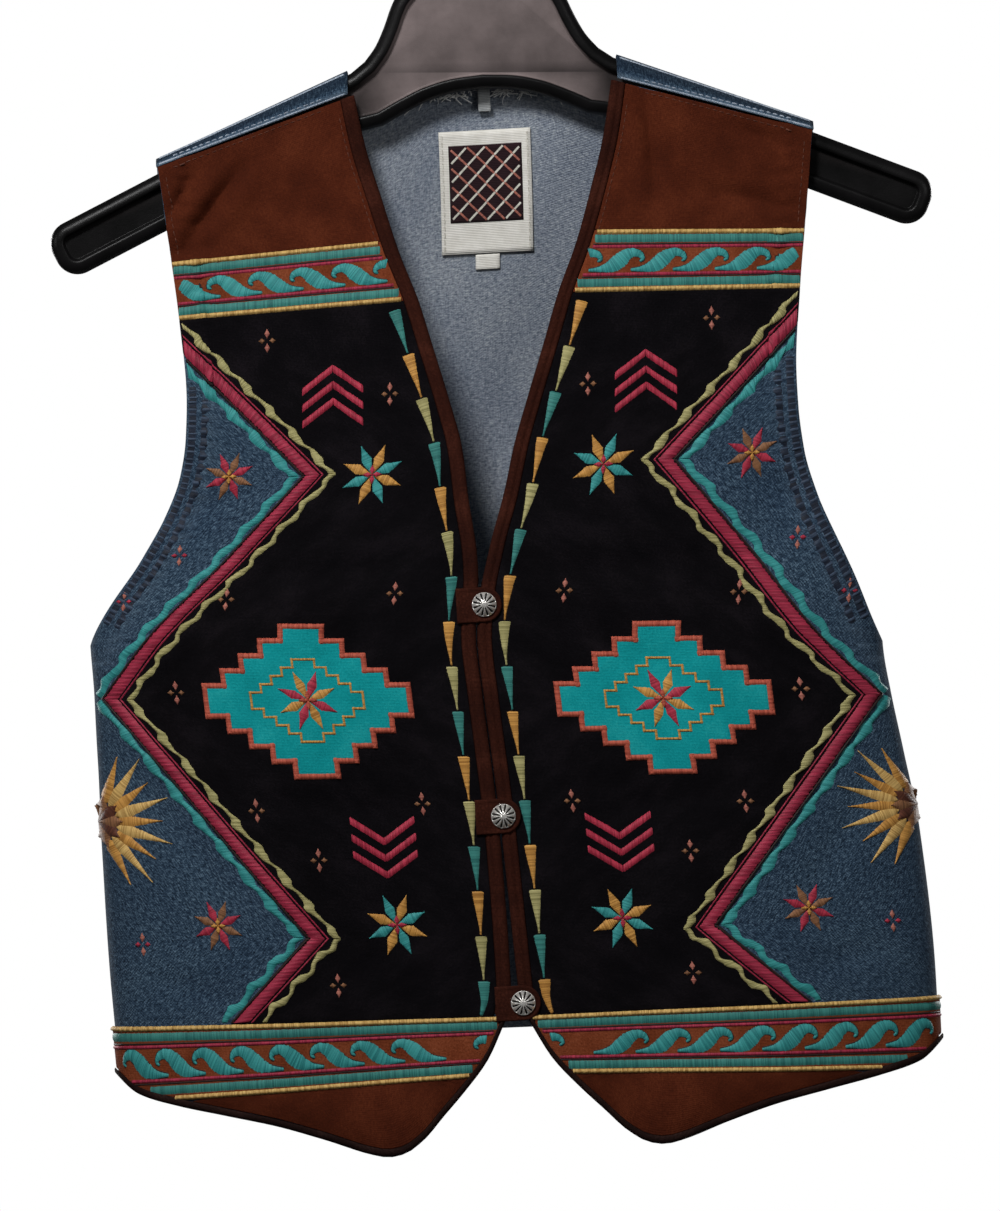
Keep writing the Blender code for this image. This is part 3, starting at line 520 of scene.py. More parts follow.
# %% Plain cottons: rust, brown, black, teal and the dark edge
def cotton_finish(name, deep, base, light, sheen, nap=0.00030, roughness=0.9):
    """Brushed or plain cotton: clouds of nap, a fine grain and a small thread weave."""
    material, tree, shader = new_finish(name, roughness, sheen)
    shader.inputs["Sheen Roughness"].default_value = 0.45
    shader.inputs["Sheen Tint"].default_value = light
    weave = node(tree, "ShaderNodeUVMap", uv_map="weave").outputs[0]
    cloud = noise(tree, stretched(tree, weave, (45, 38, 1)), 1.0, 4.0, 0.6)
    grain = noise(tree, stretched(tree, weave, (1100, 800, 1)), 1.0, 3.0, 0.7)
    both = mix(tree, 0.45, cloud, grain)
    tree.links.new(ramp(tree, both, [(0.33, deep), (0.5, base), (0.68, light)]),
                   shader.inputs["Base Color"])
    yarn = node(tree, "ShaderNodeTexWave", {"Vector": weave, "Scale": 420.0, "Distortion": 1.0},
                bands_direction="Y").outputs["Fac"]
    bumped(tree, shader, [(yarn, 0.00006), (grain, nap), (cloud, 0.0006)])
    return material


RUST = cotton_finish("rust_brushed_cotton", linear(54, 21, 11), linear(72, 30, 16), linear(94, 44, 25),
                     0.02)
BROWN = cotton_finish("brown_binding_cotton", linear(31, 12, 9), linear(48, 21, 14), linear(72, 36, 26),
                      0.02)
BLACK = cotton_finish("black_cotton", linear(5, 4, 6), linear(11, 9, 12), linear(24, 20, 24), 0.03)
TEAL_CLOTH = cotton_finish("teal_cotton", linear(8, 122, 126), linear(16, 142, 146),
                           linear(40, 162, 163), 0.01)
FIELD = cotton_finish("rust_band_cotton", linear(80, 36, 19), linear(112, 54, 31), linear(140, 76, 50),
                      0.02)
DARK_EDGE = cotton_finish("dark_edge_cotton", linear(20, 12, 11), linear(34, 21, 19), linear(56, 38, 34),
                          0.04)
print("cotton finishes made")

# %% Worked thread
THREADS = {
    "teal": ((14, 96, 98), (64, 156, 154)), "sea": ((20, 80, 78), (62, 134, 126)),
    "crimson": ((106, 14, 34), (182, 52, 74)), "wine": ((92, 12, 32), (172, 48, 74)),
    "coral": ((122, 44, 32), (192, 94, 72)), "gold": ((126, 80, 24), (208, 154, 78)),
    "olive": ((98, 94, 50), (180, 172, 118)), "tan": ((80, 50, 30), (146, 102, 70)),
    "rose": ((120, 62, 56), (182, 116, 100)), "dark": ((18, 12, 13), (46, 30, 28)),
    "cord": ((136, 96, 40), (218, 182, 112)), "blue": ((17, 25, 39), (62, 77, 98)),
    "faded": ((104, 116, 134), (176, 186, 198)), "cream": ((176, 172, 160), (224, 222, 212)),
    "white": ((214, 214, 212), (252, 252, 250)), "brown": ((52, 24, 17), (100, 56, 40)),
    # navy: the hem's dark denim, and painted shade in the valleys between the armhole puckers
    "navy_painted_shade": ((9, 13, 22), (26, 36, 54)),
}


def thread_finish(name, deep, light):
    """Satin thread: a tone for each stitch, a silky sheen and fine fibres."""
    material, tree, shader = new_finish(f"thread_{name}", 0.55, 0.04, specular=0.20)
    tone = node(tree, "ShaderNodeAttribute", attribute_name="tone").outputs["Fac"]
    where = node(tree, "ShaderNodeTexCoord").outputs["Object"]
    fibre = noise(tree, where, 2600.0, 2.0, 0.7)
    both = mix(tree, 0.4, tone, fibre)
    tree.links.new(ramp(tree, both, [(0.15, deep), (0.85, light)]), shader.inputs["Base Color"])
    bumped(tree, shader, [(fibre, 0.00012)])
    return material


THREAD = {name: thread_finish(name, *(linear(*tone) for tone in tones))
          for name, tones in THREADS.items()}
THREAD_SLOT = {name: index for index, name in enumerate(THREAD)}
print("threads:", ", ".join(THREAD))

# %% [markdown]
# ## Cloth walls
# Cloth in Blender can be a flat grid with a Solidify modifier for its thickness. Here the
# points come from the shared surface, and each corner keeps its place on the unrolled cloth
# in metres, so yarn and twill have the same size on every piece.

# %% Helper for a cloth wall
PIECES, CUT = {}, {}


def ride_on(thing, *nodes_replaced, slot=None):
    """The piece goes with the part's one body, and stands for its solids."""
    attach(thing, "root")
    if nodes_replaced:
        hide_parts(*nodes_replaced)
    PIECES[thing.name] = thing
    return thing


def linked(name, data):
    """A new object in the scene."""
    thing = bpy.data.objects.new(name, data)
    bpy.context.scene.collection.objects.link(thing)
    return thing


# Sets the wear attribute: wear on the denim, the dark hollows of the buttons, and the painted sheen on the
# hanger's bell.
def paint_wear_and_sheen(mesh, values):
    mesh.attributes.new("wear", "FLOAT", "POINT").data.foreach_set("value", values)


def unrolled(points):
    """Each point's place on the flat cloth, in metres."""
    over = np.zeros(points.shape[:2])
    over[:, 1:] = np.cumsum(np.linalg.norm(np.diff(points, axis=1), axis=2), axis=1)
    up = np.zeros(points.shape[:2])
    up[1:] = np.cumsum(np.linalg.norm(np.diff(points, axis=0), axis=2), axis=0)
    middle = points.shape[1] // 2
    return np.stack([over - over[:, middle:middle + 1],
                     np.broadcast_to(up[:, middle:middle + 1], over.shape)], axis=2)


def cloth_area(points, keep=None):
    """The area of a grid of cloth, in square metres."""
    one = np.cross(points[:-1, 1:] - points[:-1, :-1], points[1:, :-1] - points[:-1, :-1])
    two = np.cross(points[1:, :-1] - points[1:, 1:], points[:-1, 1:] - points[1:, 1:])
    cells = (np.linalg.norm(one, axis=2) + np.linalg.norm(two, axis=2)) / 2
    if keep:
        cells = cells * np.array([[keep(r, c) for c in range(cells.shape[1])]
                                  for r in range(cells.shape[0])])
    return float(cells.sum())


def cloth_wall(name, points, outward, thick, outside, finishes, keep=None, wear=None, softened=0.0):
    """A wall of cloth on a grid of points, thick to one side of it."""
    rows, columns = points.shape[:2]
    long_rows = np.linalg.norm(np.diff(points, axis=1), axis=2).sum(axis=1).max()
    long_columns = np.linalg.norm(np.diff(points, axis=0), axis=2).sum(axis=0).max()
    CUT[name] = (float(long_rows), float(long_columns), cloth_area(points, keep))
    flat = points.reshape(-1, 3)
    _, first, same = np.unique(np.round(flat, 6), axis=0, return_index=True, return_inverse=True)
    same = same.ravel()
    places = unrolled(points).reshape(-1, 2)
    faces, corners = [], []
    for row in range(rows - 1):
        for place in range(columns - 1):
            if keep and not keep(row, place):
                continue
            at = row * columns + place
            around = [at, at + 1, at + columns + 1, at + columns]
            distinct = [k for n, k in enumerate(around) if same[k] != same[around[n - 1]]]
            if len(distinct) > 2:
                faces.append([same[k] for k in distinct])
                corners += distinct
    a, b, c = (flat[first][[face[k] for face in faces]] for k in range(3))
    facing = (np.cross(b - a, c - a) * outward.reshape(-1, 3)[first][[face[0] for face in faces]]).sum()
    mesh = bpy.data.meshes.new(name)
    mesh.from_pydata(flat[first].tolist(), [], faces)
    weave = mesh.uv_layers.new(name="weave")
    weave.data.foreach_set("uv", places[corners].ravel())
    worn = np.zeros(len(flat)) if wear is None else wear.ravel()
    paint_wear_and_sheen(mesh, worn[first])
    if facing < 0:
        mesh.flip_normals()
    mesh.shade_smooth()
    for finish in finishes:
        mesh.materials.append(finish)
    thing = linked(name, mesh)
    wall = thing.modifiers.new("wall", "SOLIDIFY")
    wall.thickness = thick
    wall.offset = 1 if outside else -1
    wall.material_offset = len(finishes) - 1
    if softened:
        edge = thing.modifiers.new("soft_edge", "BEVEL")
        edge.width, edge.segments = softened, 2
        edge.limit_method, edge.angle_limit = "ANGLE", math.radians(50)
    return thing

# %% [markdown]
# ## The denim fronts and back
# The two fronts and the back are cut from denim and sewn at the shoulders and sides. The
# back comes over the shoulders to the front, as it does on the real vest, where a dark strip
# of it, pale at its edges, shows above each yoke. Wear is painted by distance from an edge,
# because the folded hems rub first.

# %% The fronts
def wear_of(points):
    """More wear on the armhole hems and on the pucker beside their stitches."""
    heights = column(SWAY, "height")
    z = points[..., 2] - smooth(points[..., 2], heights, column(SWAY, "lean")) * points[..., 0]
    edge = from_armhole(points[..., 0] - smooth(z, heights, column(SWAY, "shift")), z)
    ripple = 0.5 + 0.5 * np.sin(z * 2 * math.pi / PUCKER_RUN)
    beside_stitches = np.exp(-(((edge - 0.0105) / 0.004) ** 2))
    return np.clip(0.15 * np.exp(-((edge / 0.0020) ** 2)) + 0.25 * ripple * beside_stitches, 0, 1)


for side in (-1, 1):
    points, outward = GRID[side]
    front = cloth_wall(f"denim_front_{NAME[side]}", points, outward, DENIM, False,
                       (DENIM_BLUE, DENIM_PALE),
                       wear=wear_of(points))
    ride_on(front, f"front_{NAME[side]}", slot="denim")
    print(front.name, "area", round(CUT[front.name][2], 4))

# %% The back
BACK_LEVELS = table(BackLevel, [
    (-0.530, -0.535, 14), (-0.480, -0.480, 14), (-0.430, -0.430, 14), (UNDERARM, UNDERARM, 10),
    (-0.345, -0.350, 10), (-0.310, -0.322, 12), (-0.270, -0.290, 12), (-0.230, -0.255, 10),
    (-0.1945, -0.222, 14), (-0.1345, -0.188, 5), (-0.1200, -0.166, 0),
])
LEVEL_FROM, LEVEL_RUN, LABEL_HALF = 0.0245, 0.1300, 0.0225
NECK_MARKS = [0, LABEL_HALF, (LABEL_HALF + NECK_OUT) / 2, NECK_OUT]
BACK_CELLS = (7, 7, 7, 40)
BACK_HALF, NECK_COLUMN = sum(BACK_CELLS), sum(BACK_CELLS[:3])
OVER_STEPS = 6


def back_row(height_of, way_of=None):
    """One row of the back from left to right, by its height or by its way over the ridge."""
    half = []
    for side in (-1, 1):
        tip = ARMHOLE[-1].out
        end = side_at(height_of(np.array([tip]))[0]) if way_of is None else tip
        if way_of is None:
            x = end * np.sin(np.linspace(0, math.pi / 2, 400))
            height = height_of(x)

            def joints(arc):
                seam = SIDE_SEAM_BACK if height[-1] <= UNDERARM else 0
                return np.array([*np.interp(NECK_MARKS, x, arc), arc[-1] - seam])

            half.append(across(side * x, height, -1, joints, BACK_CELLS))
            continue
        runs = zip(NECK_MARKS, NECK_MARKS[1:] + [end], BACK_CELLS)
        at = np.concatenate([*[np.linspace(a, b, n, endpoint=False) for a, b, n in runs], [end]])
        way = way_of(at)
        along = cloth(side * (at + TIP), way) - cloth(side * (at - TIP), way)
        out = np.cross(along, cloth(side * at, way + TIP) - cloth(side * at, way - TIP))
        up = np.stack([0 * at, -np.sin(way / SHOULDER_ROUND), np.cos(way / SHOULDER_ROUND)], axis=1)
        out *= np.sign((out * up).sum(axis=1, keepdims=True))
        half.append((cloth(side * at, way), unit(out)))
    (left, left_out), (right, right_out) = half
    return np.concatenate([left[:0:-1], right]), np.concatenate([left_out[:0:-1], right_out])


def neck_at(x):
    """The back neck edge, which curves up to where the shoulders turn over the hanger."""
    rise = NECK_HEIGHT - SHOULDER_ROUND - BACK_NECK_HEIGHT
    return BACK_NECK_HEIGHT + rise * np.clip(np.abs(x) / NECK_OUT, 0, 1) ** 4


def back_line(at_middle, at_side):
    def line(x):
        share = np.clip((np.abs(x) - LEVEL_FROM) / LEVEL_RUN, 0, 1)
        return at_middle + share * (at_side - at_middle)
    return line


def back_hem(x):
    share = np.clip(np.abs(x) / SIDE[0].out, 0, 1) ** 2
    return BACK_HEM_MIDDLE + share * (BACK_HEM_SIDE - BACK_HEM_MIDDLE)


def back_grid():
    rows = [back_row(back_hem)]
    first = BACK_LEVELS[0]
    for share in (0.2, 0.4, 0.6, 0.8):
        low = back_line(first.at_middle, first.at_side)
        rows.append(back_row(lambda x, share=share: back_hem(x) + share * (low(x) - back_hem(x))))
    for level, above in zip(BACK_LEVELS, BACK_LEVELS[1:] + BACK_LEVELS[-1:]):
        for k in range(max(level.cells, 1)):
            share = k / max(level.cells, 1)
            middle = level.at_middle + share * (above.at_middle - level.at_middle)
            at_side = level.at_side + share * (above.at_side - level.at_side)
            rows.append(back_row(back_line(middle, at_side)))
    neck_row = len(rows)
    quarter = SHOULDER_ROUND * math.pi / 2
    for k in range(OVER_STEPS + 1):
        rows.append(back_row(None, lambda x, way=-quarter * (1 - k / OVER_STEPS): np.full_like(x, way)))
    for k in range(OVER_STEPS):

        def over(x, share=(k + 1) / OVER_STEPS):
            drop = np.interp(x, [NECK_OUT, ARMHOLE[-1].out], [SEAM_DROP_AT_NECK, SEAM_DROP_AT_TIP])
            return share * (way_down(x, ridge_at(x) - drop) - GAP / 2)

        rows.append(back_row(None, over))
    return np.array([r[0] for r in rows]), np.array([r[1] for r in rows]), neck_row


back_points, back_outward, NECK_ROW = back_grid()
steps = zip(NECK_MARKS, NECK_MARKS[1:], BACK_CELLS)
half = np.concatenate([np.linspace(a, b, n, endpoint=False) for a, b, n in steps])
at = np.concatenate([-half[:0:-1], half])
neck = np.s_[NECK_ROW, BACK_HALF - NECK_COLUMN + 1:BACK_HALF + NECK_COLUMN]
back_points[neck] = cloth(at, -way_down(at, neck_at(at)))


def back_keep(row, place):
    return not (-NECK_COLUMN <= place - BACK_HALF < NECK_COLUMN and row >= NECK_ROW)


back_wear = wear_of(back_points)
back_wear[NECK_ROW + OVER_STEPS + 1:] = -0.60
for row, rub in ((NECK_ROW + OVER_STEPS, 0.50), (-2, 0.15), (-1, 0.95)):
    back_wear[row] = rub
back = cloth_wall("denim_back", back_points, back_outward, DENIM, False, (DENIM_BLUE, DENIM_PALE),
                  back_keep, back_wear)
ride_on(back, "back", slot="denim")
print("back area", round(CUT[back.name][2], 4))

# %% [markdown]
# ## The pieces laid on the fronts
# Yokes, bands, panels and hem points are each a block of the front's rows and columns, moved
# out by a seam gap. Their cut edges are turned under on the real vest, so a small bevel
# rounds them.

# %% Yokes, bands, panels and hem points
POINT_LEAST, POINT_END, SOFT_EDGE = 0.0015, 0.25, 0.0003


def drawn_in(points):
    """The same points with every border moved in by half a seam gap."""
    moved = points.copy()
    for near, next_in in ((np.s_[0], np.s_[1]), (np.s_[-1], np.s_[-2])):
        for view, source in ((moved, points), (moved.swapaxes(0, 1), points.swapaxes(0, 1))):
            run = source[next_in] - source[near]
            long = np.linalg.norm(run, axis=-1, keepdims=True)
            view[near] += np.where(long > GAP, run / np.maximum(long, 1e-9) * GAP / 2, 0)
    return moved


def block(foot, head, first=EDGE_COLUMN, last=SIDE_COLUMN):
    """The rows between two sewing lines, and the columns from first to last."""
    return np.s_[ROW[foot]:ROW[head] + 1, first:last + 1]


def laid_on(name, side, spot, finish, slot, keep=None, trim=0.0):
    points, outward = GRID[side][0][spot] + GAP * GRID[side][1][spot], GRID[side][1][spot]
    if trim:
        points[:, 0] += trim * (points[:, 1] - points[:, 0])
        points[:, -1] += trim * (points[:, -2] - points[:, -1])
    full = f"{name}_{NAME[side]}"
    piece = cloth_wall(f"cotton_{full}", drawn_in(points), outward, LAYER, True, (finish,), keep,
                       softened=SOFT_EDGE)
    return ride_on(piece, full, slot=slot)


full_from = ROW["panel_top"] - ROW["hem_band_head"]
panel_inner = ZIGZAG_COLUMN - EDGE_COLUMN
for side in (-1, 1):
    laid_on("yoke", side, block("yoke_band_head", "shoulder_seam"), RUST, "rust_cotton")
    laid_on("yoke_band", side, block("yoke_band_foot", "yoke_band_head"), FIELD, "worked_band")
    laid_on("panel", side, block("hem_band_head", "yoke_band_foot"), BLACK, "black_cotton",
            lambda row, place: place < panel_inner or row >= full_from)
    laid_on("hem_band", side, block("hem_band_foot", "hem_band_head", 0), FIELD, "worked_band")
    tall = GRID[side][0][ROW["hem_band_foot"], :, 2] - GRID[side][0][ROW["hem_edge"], :, 2]
    below = np.flatnonzero(tall > POINT_LEAST)
    spot = block("hem_edge", "hem_band_foot", below[0] - 1, below[-1] + 1)
    laid_on("hem_point", side, spot, RUST, "rust_cotton", trim=POINT_END)
print("laid on:", [name for name in PIECES if name.startswith("cotton")])

# %% [markdown]
# ## The bindings
# A binding is a strip of cotton folded over a raw edge. Sweeping one bent section along the
# edge gives it a rolled lip and an inside ply, which a flat strip would not have. The brown
# one runs down the V and the front edge, and the narrow dark one runs along the hem.

# %% Bindings swept along the edges
Bend = namedtuple("Bend", "inward lift")
EDGE_BEND = table(Bend, [
    (0.0059, 0.0005), (0.0052, 0.0011), (0.0042, 0.0013), (0.0034, 0.0007), (0.0026, 0.0013),
    (0.0014, 0.0016), (0.0004, 0.0013), (-0.0005, 0.0006), (-0.0007, -0.0004), (-0.0003, -0.0014),
    (0.0012, -0.0019), (0.0058, -0.0019),
])
HEM_BEND = table(Bend, [
    (0.0030, 0.0016), (0.0022, 0.0019), (0.0010, 0.0018), (0.0001, 0.0011), (-0.0004, 0.0001),
    (-0.0003, -0.0010), (0.0006, -0.0017), (0.0062, -0.0018),
])
BINDING_THICK = 0.0004


def bound_edge(name, edge, next_in, outward, bends, finish, node_name, slot):
    """A strip of cotton bent round an edge, made from the edge's points and the ones beside them."""
    run = unit(next_in - edge)
    points = np.stack([edge + bend.inward * run + bend.lift * outward for bend in bends], axis=1)
    around = np.gradient(points, axis=1)
    along = np.gradient(points, axis=0)
    facing = np.cross(along, around)
    facing *= np.sign((facing[:, :1] * outward[:, None]).sum(axis=-1, keepdims=True))
    piece = cloth_wall(name, points, facing, BINDING_THICK, True, (finish,))
    return ride_on(piece, node_name, slot=slot)


for side in (-1, 1):
    points, outward = GRID[side]
    rows = slice(ROW["hem_band_head"], ROW["shoulder_seam"] + 1)
    bound_edge(f"binding_edge_{NAME[side]}", points[rows, 0], points[rows, 1], outward[rows, 0],
               EDGE_BEND, BROWN,
               f"edge_binding_{NAME[side]}", "brown_cotton")
    bound_edge(f"binding_hem_{NAME[side]}", points[0], points[1], outward[0], HEM_BEND, DARK_EDGE,
               f"hem_binding_{NAME[side]}", "dark_edge")
print("bindings:", [name for name in PIECES if name.startswith("binding")])

# %% [markdown]
# ## Satin stitch
# Worked thread lies in rows across a shape, packed side by side, and stands a little proud.
# A strip between two edge lines, domed across and ridged along, gives that at the size of
# real stitches. All the worked lines and motifs here are such strips, and each group is
# joined into one mesh.

# %% Strips of satin stitch
ON_PANEL, ON_DENIM = GAP + LAYER, 0.0
PITCH, RIDGE, SUNK, FRAY = 0.0009, 0.30, 0.0002, 0.00014
DOME = np.array([0.0, 0.78, 1.0, 0.78, 0.0])


class Work:
    """The strips of one joined mesh of thread."""

    def __init__(self):
        self.points, self.faces, self.slots, self.tones, self.count = [], [], [], [], 0

    def add(self, points, thread):
        """A grid of points as faces of one thread, with a tone for each row."""
        rows, columns = points.shape[:2]
        at = self.count + np.arange(rows * columns).reshape(rows, columns)
        quads = np.stack([at[:-1, :-1], at[:-1, 1:], at[1:, 1:], at[1:, :-1]], axis=-1).reshape(-1, 4)
        self.points.append(points.reshape(-1, 3))
        self.faces.append(quads)
        self.slots.append(np.full(len(quads), THREAD_SLOT[thread]))
        self.tones.append(np.repeat(rng.uniform(0.15, 0.95, rows - 1), columns - 1))
        self.count += rows * columns

    def joined(self, name, slot=None):
        mesh = bpy.data.meshes.new(name)
        mesh.from_pydata(np.concatenate(self.points).tolist(), [], np.concatenate(self.faces).tolist())
        for finish in THREAD.values():
            mesh.materials.append(finish)
        mesh.polygons.foreach_set("material_index", np.concatenate(self.slots))
        mesh.attributes.new("tone", "FLOAT", "FACE").data.foreach_set("value", np.concatenate(self.tones))
        mesh.shade_smooth()
        thing = linked(name, mesh)
        print(name, "faces", len(mesh.polygons))
        return ride_on(thing, slot=slot)


def satin(work, side, edge_a, edge_b, thread, height=0.0008, lift=ON_PANEL, pitch=PITCH, twist=0.0,
          face=1):
    """Rows of thread between two edge lines, given as points of distance out and height."""
    edge_a, edge_b = np.asarray(edge_a, float), np.asarray(edge_b, float)
    fine = np.linspace(0, len(edge_a) - 1, max(40, 3 * len(edge_a)))
    middle = sampled((edge_a + edge_b) / 2, fine)
    line = cloth(side * middle[:, 0], face * way_down(side * middle[:, 0], middle[:, 1]))
    arc = arc_of(line)
    count = max(4, int(arc[-1] / pitch * 2))
    at = np.interp(np.linspace(0, arc[-1], count + 1), arc, fine)
    a, b = sampled(edge_a, at), sampled(edge_b, at)
    over = np.linspace(0, 1, len(DOME))
    share = over + FRAY / 0.004 * rng.uniform(-1, 1, (len(at), 1)) * (DOME == 0)
    x = a[:, :1] * (1 - share) + b[:, :1] * share
    z = a[:, 1:] * (1 - share) + b[:, 1:] * share
    points, out = place_at(side * x, z, face)
    ridge = 1 - RIDGE * (np.arange(len(at)) % 2)
    ridge[[0, -1]] = 0
    turn = 2 * math.pi * (np.arange(len(at))[:, None] / 6 + twist * share)
    wave = 1 - RIDGE * (0.5 + 0.5 * np.sin(turn))
    rows = wave if twist else np.repeat(ridge[:, None], len(DOME), axis=1)
    low, high = (lift, lift) if np.isscalar(lift) else lift
    rise = low + (high - low) * over**2 + height * DOME * rows - SUNK * (DOME == 0)
    work.add(points + rise[..., None] * out, thread)


def strip_edges(path, widths):
    """The two edges of a strip along a path, from its width at each point."""
    path, widths = np.asarray(path, float), np.broadcast_to(widths, len(path))
    run = unit(np.gradient(path, axis=0))
    beside = pairs(-run[:, 1], run[:, 0])
    return path + beside * widths[:, None] / 2, path - beside * widths[:, None] / 2

# %% [markdown]
# ## The striped bands
# A band is a strip of rust cotton edged with gold cord. Two sea-green stripes run along it, each
# with a dark and a wine line, and between them a row of running waves, one of the oldest border
# patterns there is. The wave is drawn as a single curling stroke and repeated by a loop.

# %% Lines along a band
Band = namedtuple("Band", "name foot_front foot_side head_front head_side inner repeats")
BANDS = table(Band, [
    ("yoke_band", -0.2170, -0.2205, -0.1870, -0.1920, EDGE_WIDTH, 4.5),
    ("hem_band", -0.5940, -0.6010, -0.5660, -0.5645, 0.0, 9.0),
])
Stripe = namedtuple("Stripe", "share wide thread height pitch twist")
STRIPES = table(Stripe, [
    (0.965, 0.0024, "cord", 0.0013, 0.0010, 1.0), (0.855, 0.0047, "sea", 0.0006, 0.0009, 0.0),
    (0.765, 0.0010, "dark", 0.0004, 0.0012, 0.0), (0.725, 0.0019, "wine", 0.0007, 0.0009, 0.0),
    (0.275, 0.0019, "wine", 0.0007, 0.0009, 0.0), (0.235, 0.0010, "dark", 0.0004, 0.0012, 0.0),
    (0.145, 0.0047, "sea", 0.0006, 0.0009, 0.0), (0.035, 0.0024, "cord", 0.0013, 0.0010, 1.0),
])
BAND_END = 0.0008


def band_line(band, share, steps=160):
    """Points of distance out and height along a band, at a share of its height, clear of the hem."""
    front = band.foot_front + share * (band.head_front - band.foot_front)
    side_height = band.foot_side + share * (band.head_side - band.foot_side)
    start, end = out_at(FRONT_EDGE, front), side_at(side_height)
    x = start + (end - start) * np.sin(np.linspace(0, math.pi / 2, steps))
    z = front + (side_height - front) * (x - start) / (end - start)
    clear = (x > start + band.inner + BAND_END) & (x < end - BAND_END / 4)
    clear &= z > hem_at(x) + HEM_EDGE_WIDTH
    return pairs(x, z)[clear]


def band_stripe(work, side, band, stripe):
    line = band_line(band, stripe.share)
    half = np.array([0, stripe.wide / 2])
    satin(work, side, line + half, line - half, stripe.thread, stripe.height, ON_PANEL, stripe.pitch,
          stripe.twist)


# %% The running wave
Stroke = namedtuple("Stroke", "along up wide")
WAVE = table(Stroke, [
    (-0.30, 0.08, 0.14), (-0.04, 0.12, 0.30), (0.16, 0.20, 0.52), (0.33, 0.34, 0.72),
    (0.47, 0.53, 0.74), (0.61, 0.73, 0.60), (0.78, 0.84, 0.44), (0.94, 0.74, 0.34), (0.99, 0.56, 0.22),
    (0.92, 0.44, 0.10),
])
FIELD_LOW, FIELD_HIGH, WAVE_LONG = 0.310, 0.690, 0.0205
OUTLINE = 0.0011


def wave_edges(band, start, grow):
    """The edges of one wave, laid along the band from a start, grown by an outline."""
    middle = band_line(band, 0.5, 600)
    line = cloth(middle[:, 0], way_down(middle[:, 0], middle[:, 1]))
    arc = arc_of(line)
    tall = (band.head_front - band.foot_front) * (FIELD_HIGH - FIELD_LOW)
    marks = np.linspace(0, len(WAVE) - 1, 33)
    knots = np.arange(len(WAVE))
    along, up, wide = (smooth(marks, knots, column(WAVE, name)) for name in ("along", "up", "wide"))
    flat = pairs(start + along * WAVE_LONG, up * tall)
    inside = (flat[:, 0] > 0.001) & (flat[:, 0] < arc[-1] - 0.002)
    if inside.sum() < 12:
        return None
    edges = strip_edges(flat[inside], wide[inside] * tall + grow)
    placed = []
    for edge in edges:
        x = np.interp(edge[:, 0], arc, middle[:, 0])
        share = FIELD_LOW + edge[:, 1] / (band.head_front - band.foot_front)
        foot = np.interp(x, middle[:, 0], middle[:, 1])
        tall_here = np.interp(x, [0, SIDE[0].out],
                              [band.head_front - band.foot_front, band.head_side - band.foot_side])
        placed.append(pairs(x, foot + (share - 0.5) * tall_here))
    clear = all((edge[:, 1] > hem_at(edge[:, 0]) + HEM_EDGE_WIDTH).all() for edge in placed)
    return placed if clear else None


for side in (-1, 1):
    for band in BANDS:
        work = Work()
        for stripe in STRIPES:
            band_stripe(work, side, band, stripe)
        for k in range(-1, int(band.repeats) + 2):
            for grow, thread, height in ((OUTLINE, "dark", 0.0003), (0.0, "teal", 0.0008)):
                edges = wave_edges(band, (k + 0.35) * WAVE_LONG, grow)
                if edges:
                    satin(work, side, *edges, thread, height)
        work.joined(f"thread_{band.name}_{NAME[side]}", "worked_band")

# %% [markdown]
# ## The border of the panels
# Where a black panel ends on the denim, five lines of thread follow its zigzag: a wavy olive
# one and a thin wine one on the panel, a wine cord at the cut edge, a dark one that steps down
# and a wavy teal one on the denim. The corners are mitred, so each straight run is one strip
# whose ends are cut on the slant.

# %% Border lines along the zigzag
Border = namedtuple("Border", "inner outer thread height lift sway run")
BORDERS = table(Border, [
    (-0.0114, -0.0084, "olive", 0.0010, ON_PANEL, 0.0011, 0.0170),
    (-0.0068, -0.0059, "wine", 0.0005, ON_PANEL, 0.0, 1.0),
    (-0.0054, 0.0000, "wine", 0.0012, ON_PANEL, 0.0, 1.0),
    (0.0002, 0.0016, "dark", 0.0006, (ON_PANEL, ON_DENIM), 0.0, 1.0),
    (0.0019, 0.0062, "teal", 0.0010, ON_DENIM, 0.0010, 0.0170),
])
CORNERS = np.array([(row.out, row.height) for row in ZIGZAG])
RUN_ON = 0.30
CORNERS[0] += RUN_ON * (CORNERS[0] - CORNERS[1])
CORNERS[-1] += RUN_ON * (CORNERS[-1] - CORNERS[-2])


def beside_zigzag(offset):
    """The zigzag moved out, with mitred corners; the ends run on along their own lines."""
    runs = unit(np.diff(CORNERS, axis=0))
    outs = pairs(runs[:, 1], -runs[:, 0])
    corner_out = np.concatenate([outs[:1], outs[:-1] + outs[1:], outs[-1:]])
    nearest = np.concatenate([outs[:1], outs])
    corner_out /= (corner_out * nearest).sum(axis=1, keepdims=True)
    return CORNERS + offset * corner_out


def border_run(border, k):
    """The edges of one straight run of a border line, wavy where the line is."""
    inner, outer = beside_zigzag(border.inner), beside_zigzag(border.outer)
    long = np.linalg.norm(inner[k + 1] - inner[k])
    share = np.linspace(0, 1, max(3, int(long / 0.0012)))[:, None]
    fade = np.clip(np.minimum(share, 1 - share) / 0.05, 0, 1)
    across_run = (outer[k] - inner[k]) / np.linalg.norm(outer[k] - inner[k])
    turn = 2 * math.pi * share * long / border.run + 1.7 * k
    swing = border.sway * fade * (np.sin(turn) + 0.35 * np.sin(2.3 * turn + k))
    pinch = border.sway * 0.7 * fade * np.sin(turn + 1.9)
    a = inner[k] + share * (inner[k + 1] - inner[k]) + across_run * (swing + pinch)
    b = outer[k] + share * (outer[k + 1] - outer[k]) + across_run * (swing - pinch)
    return a, b


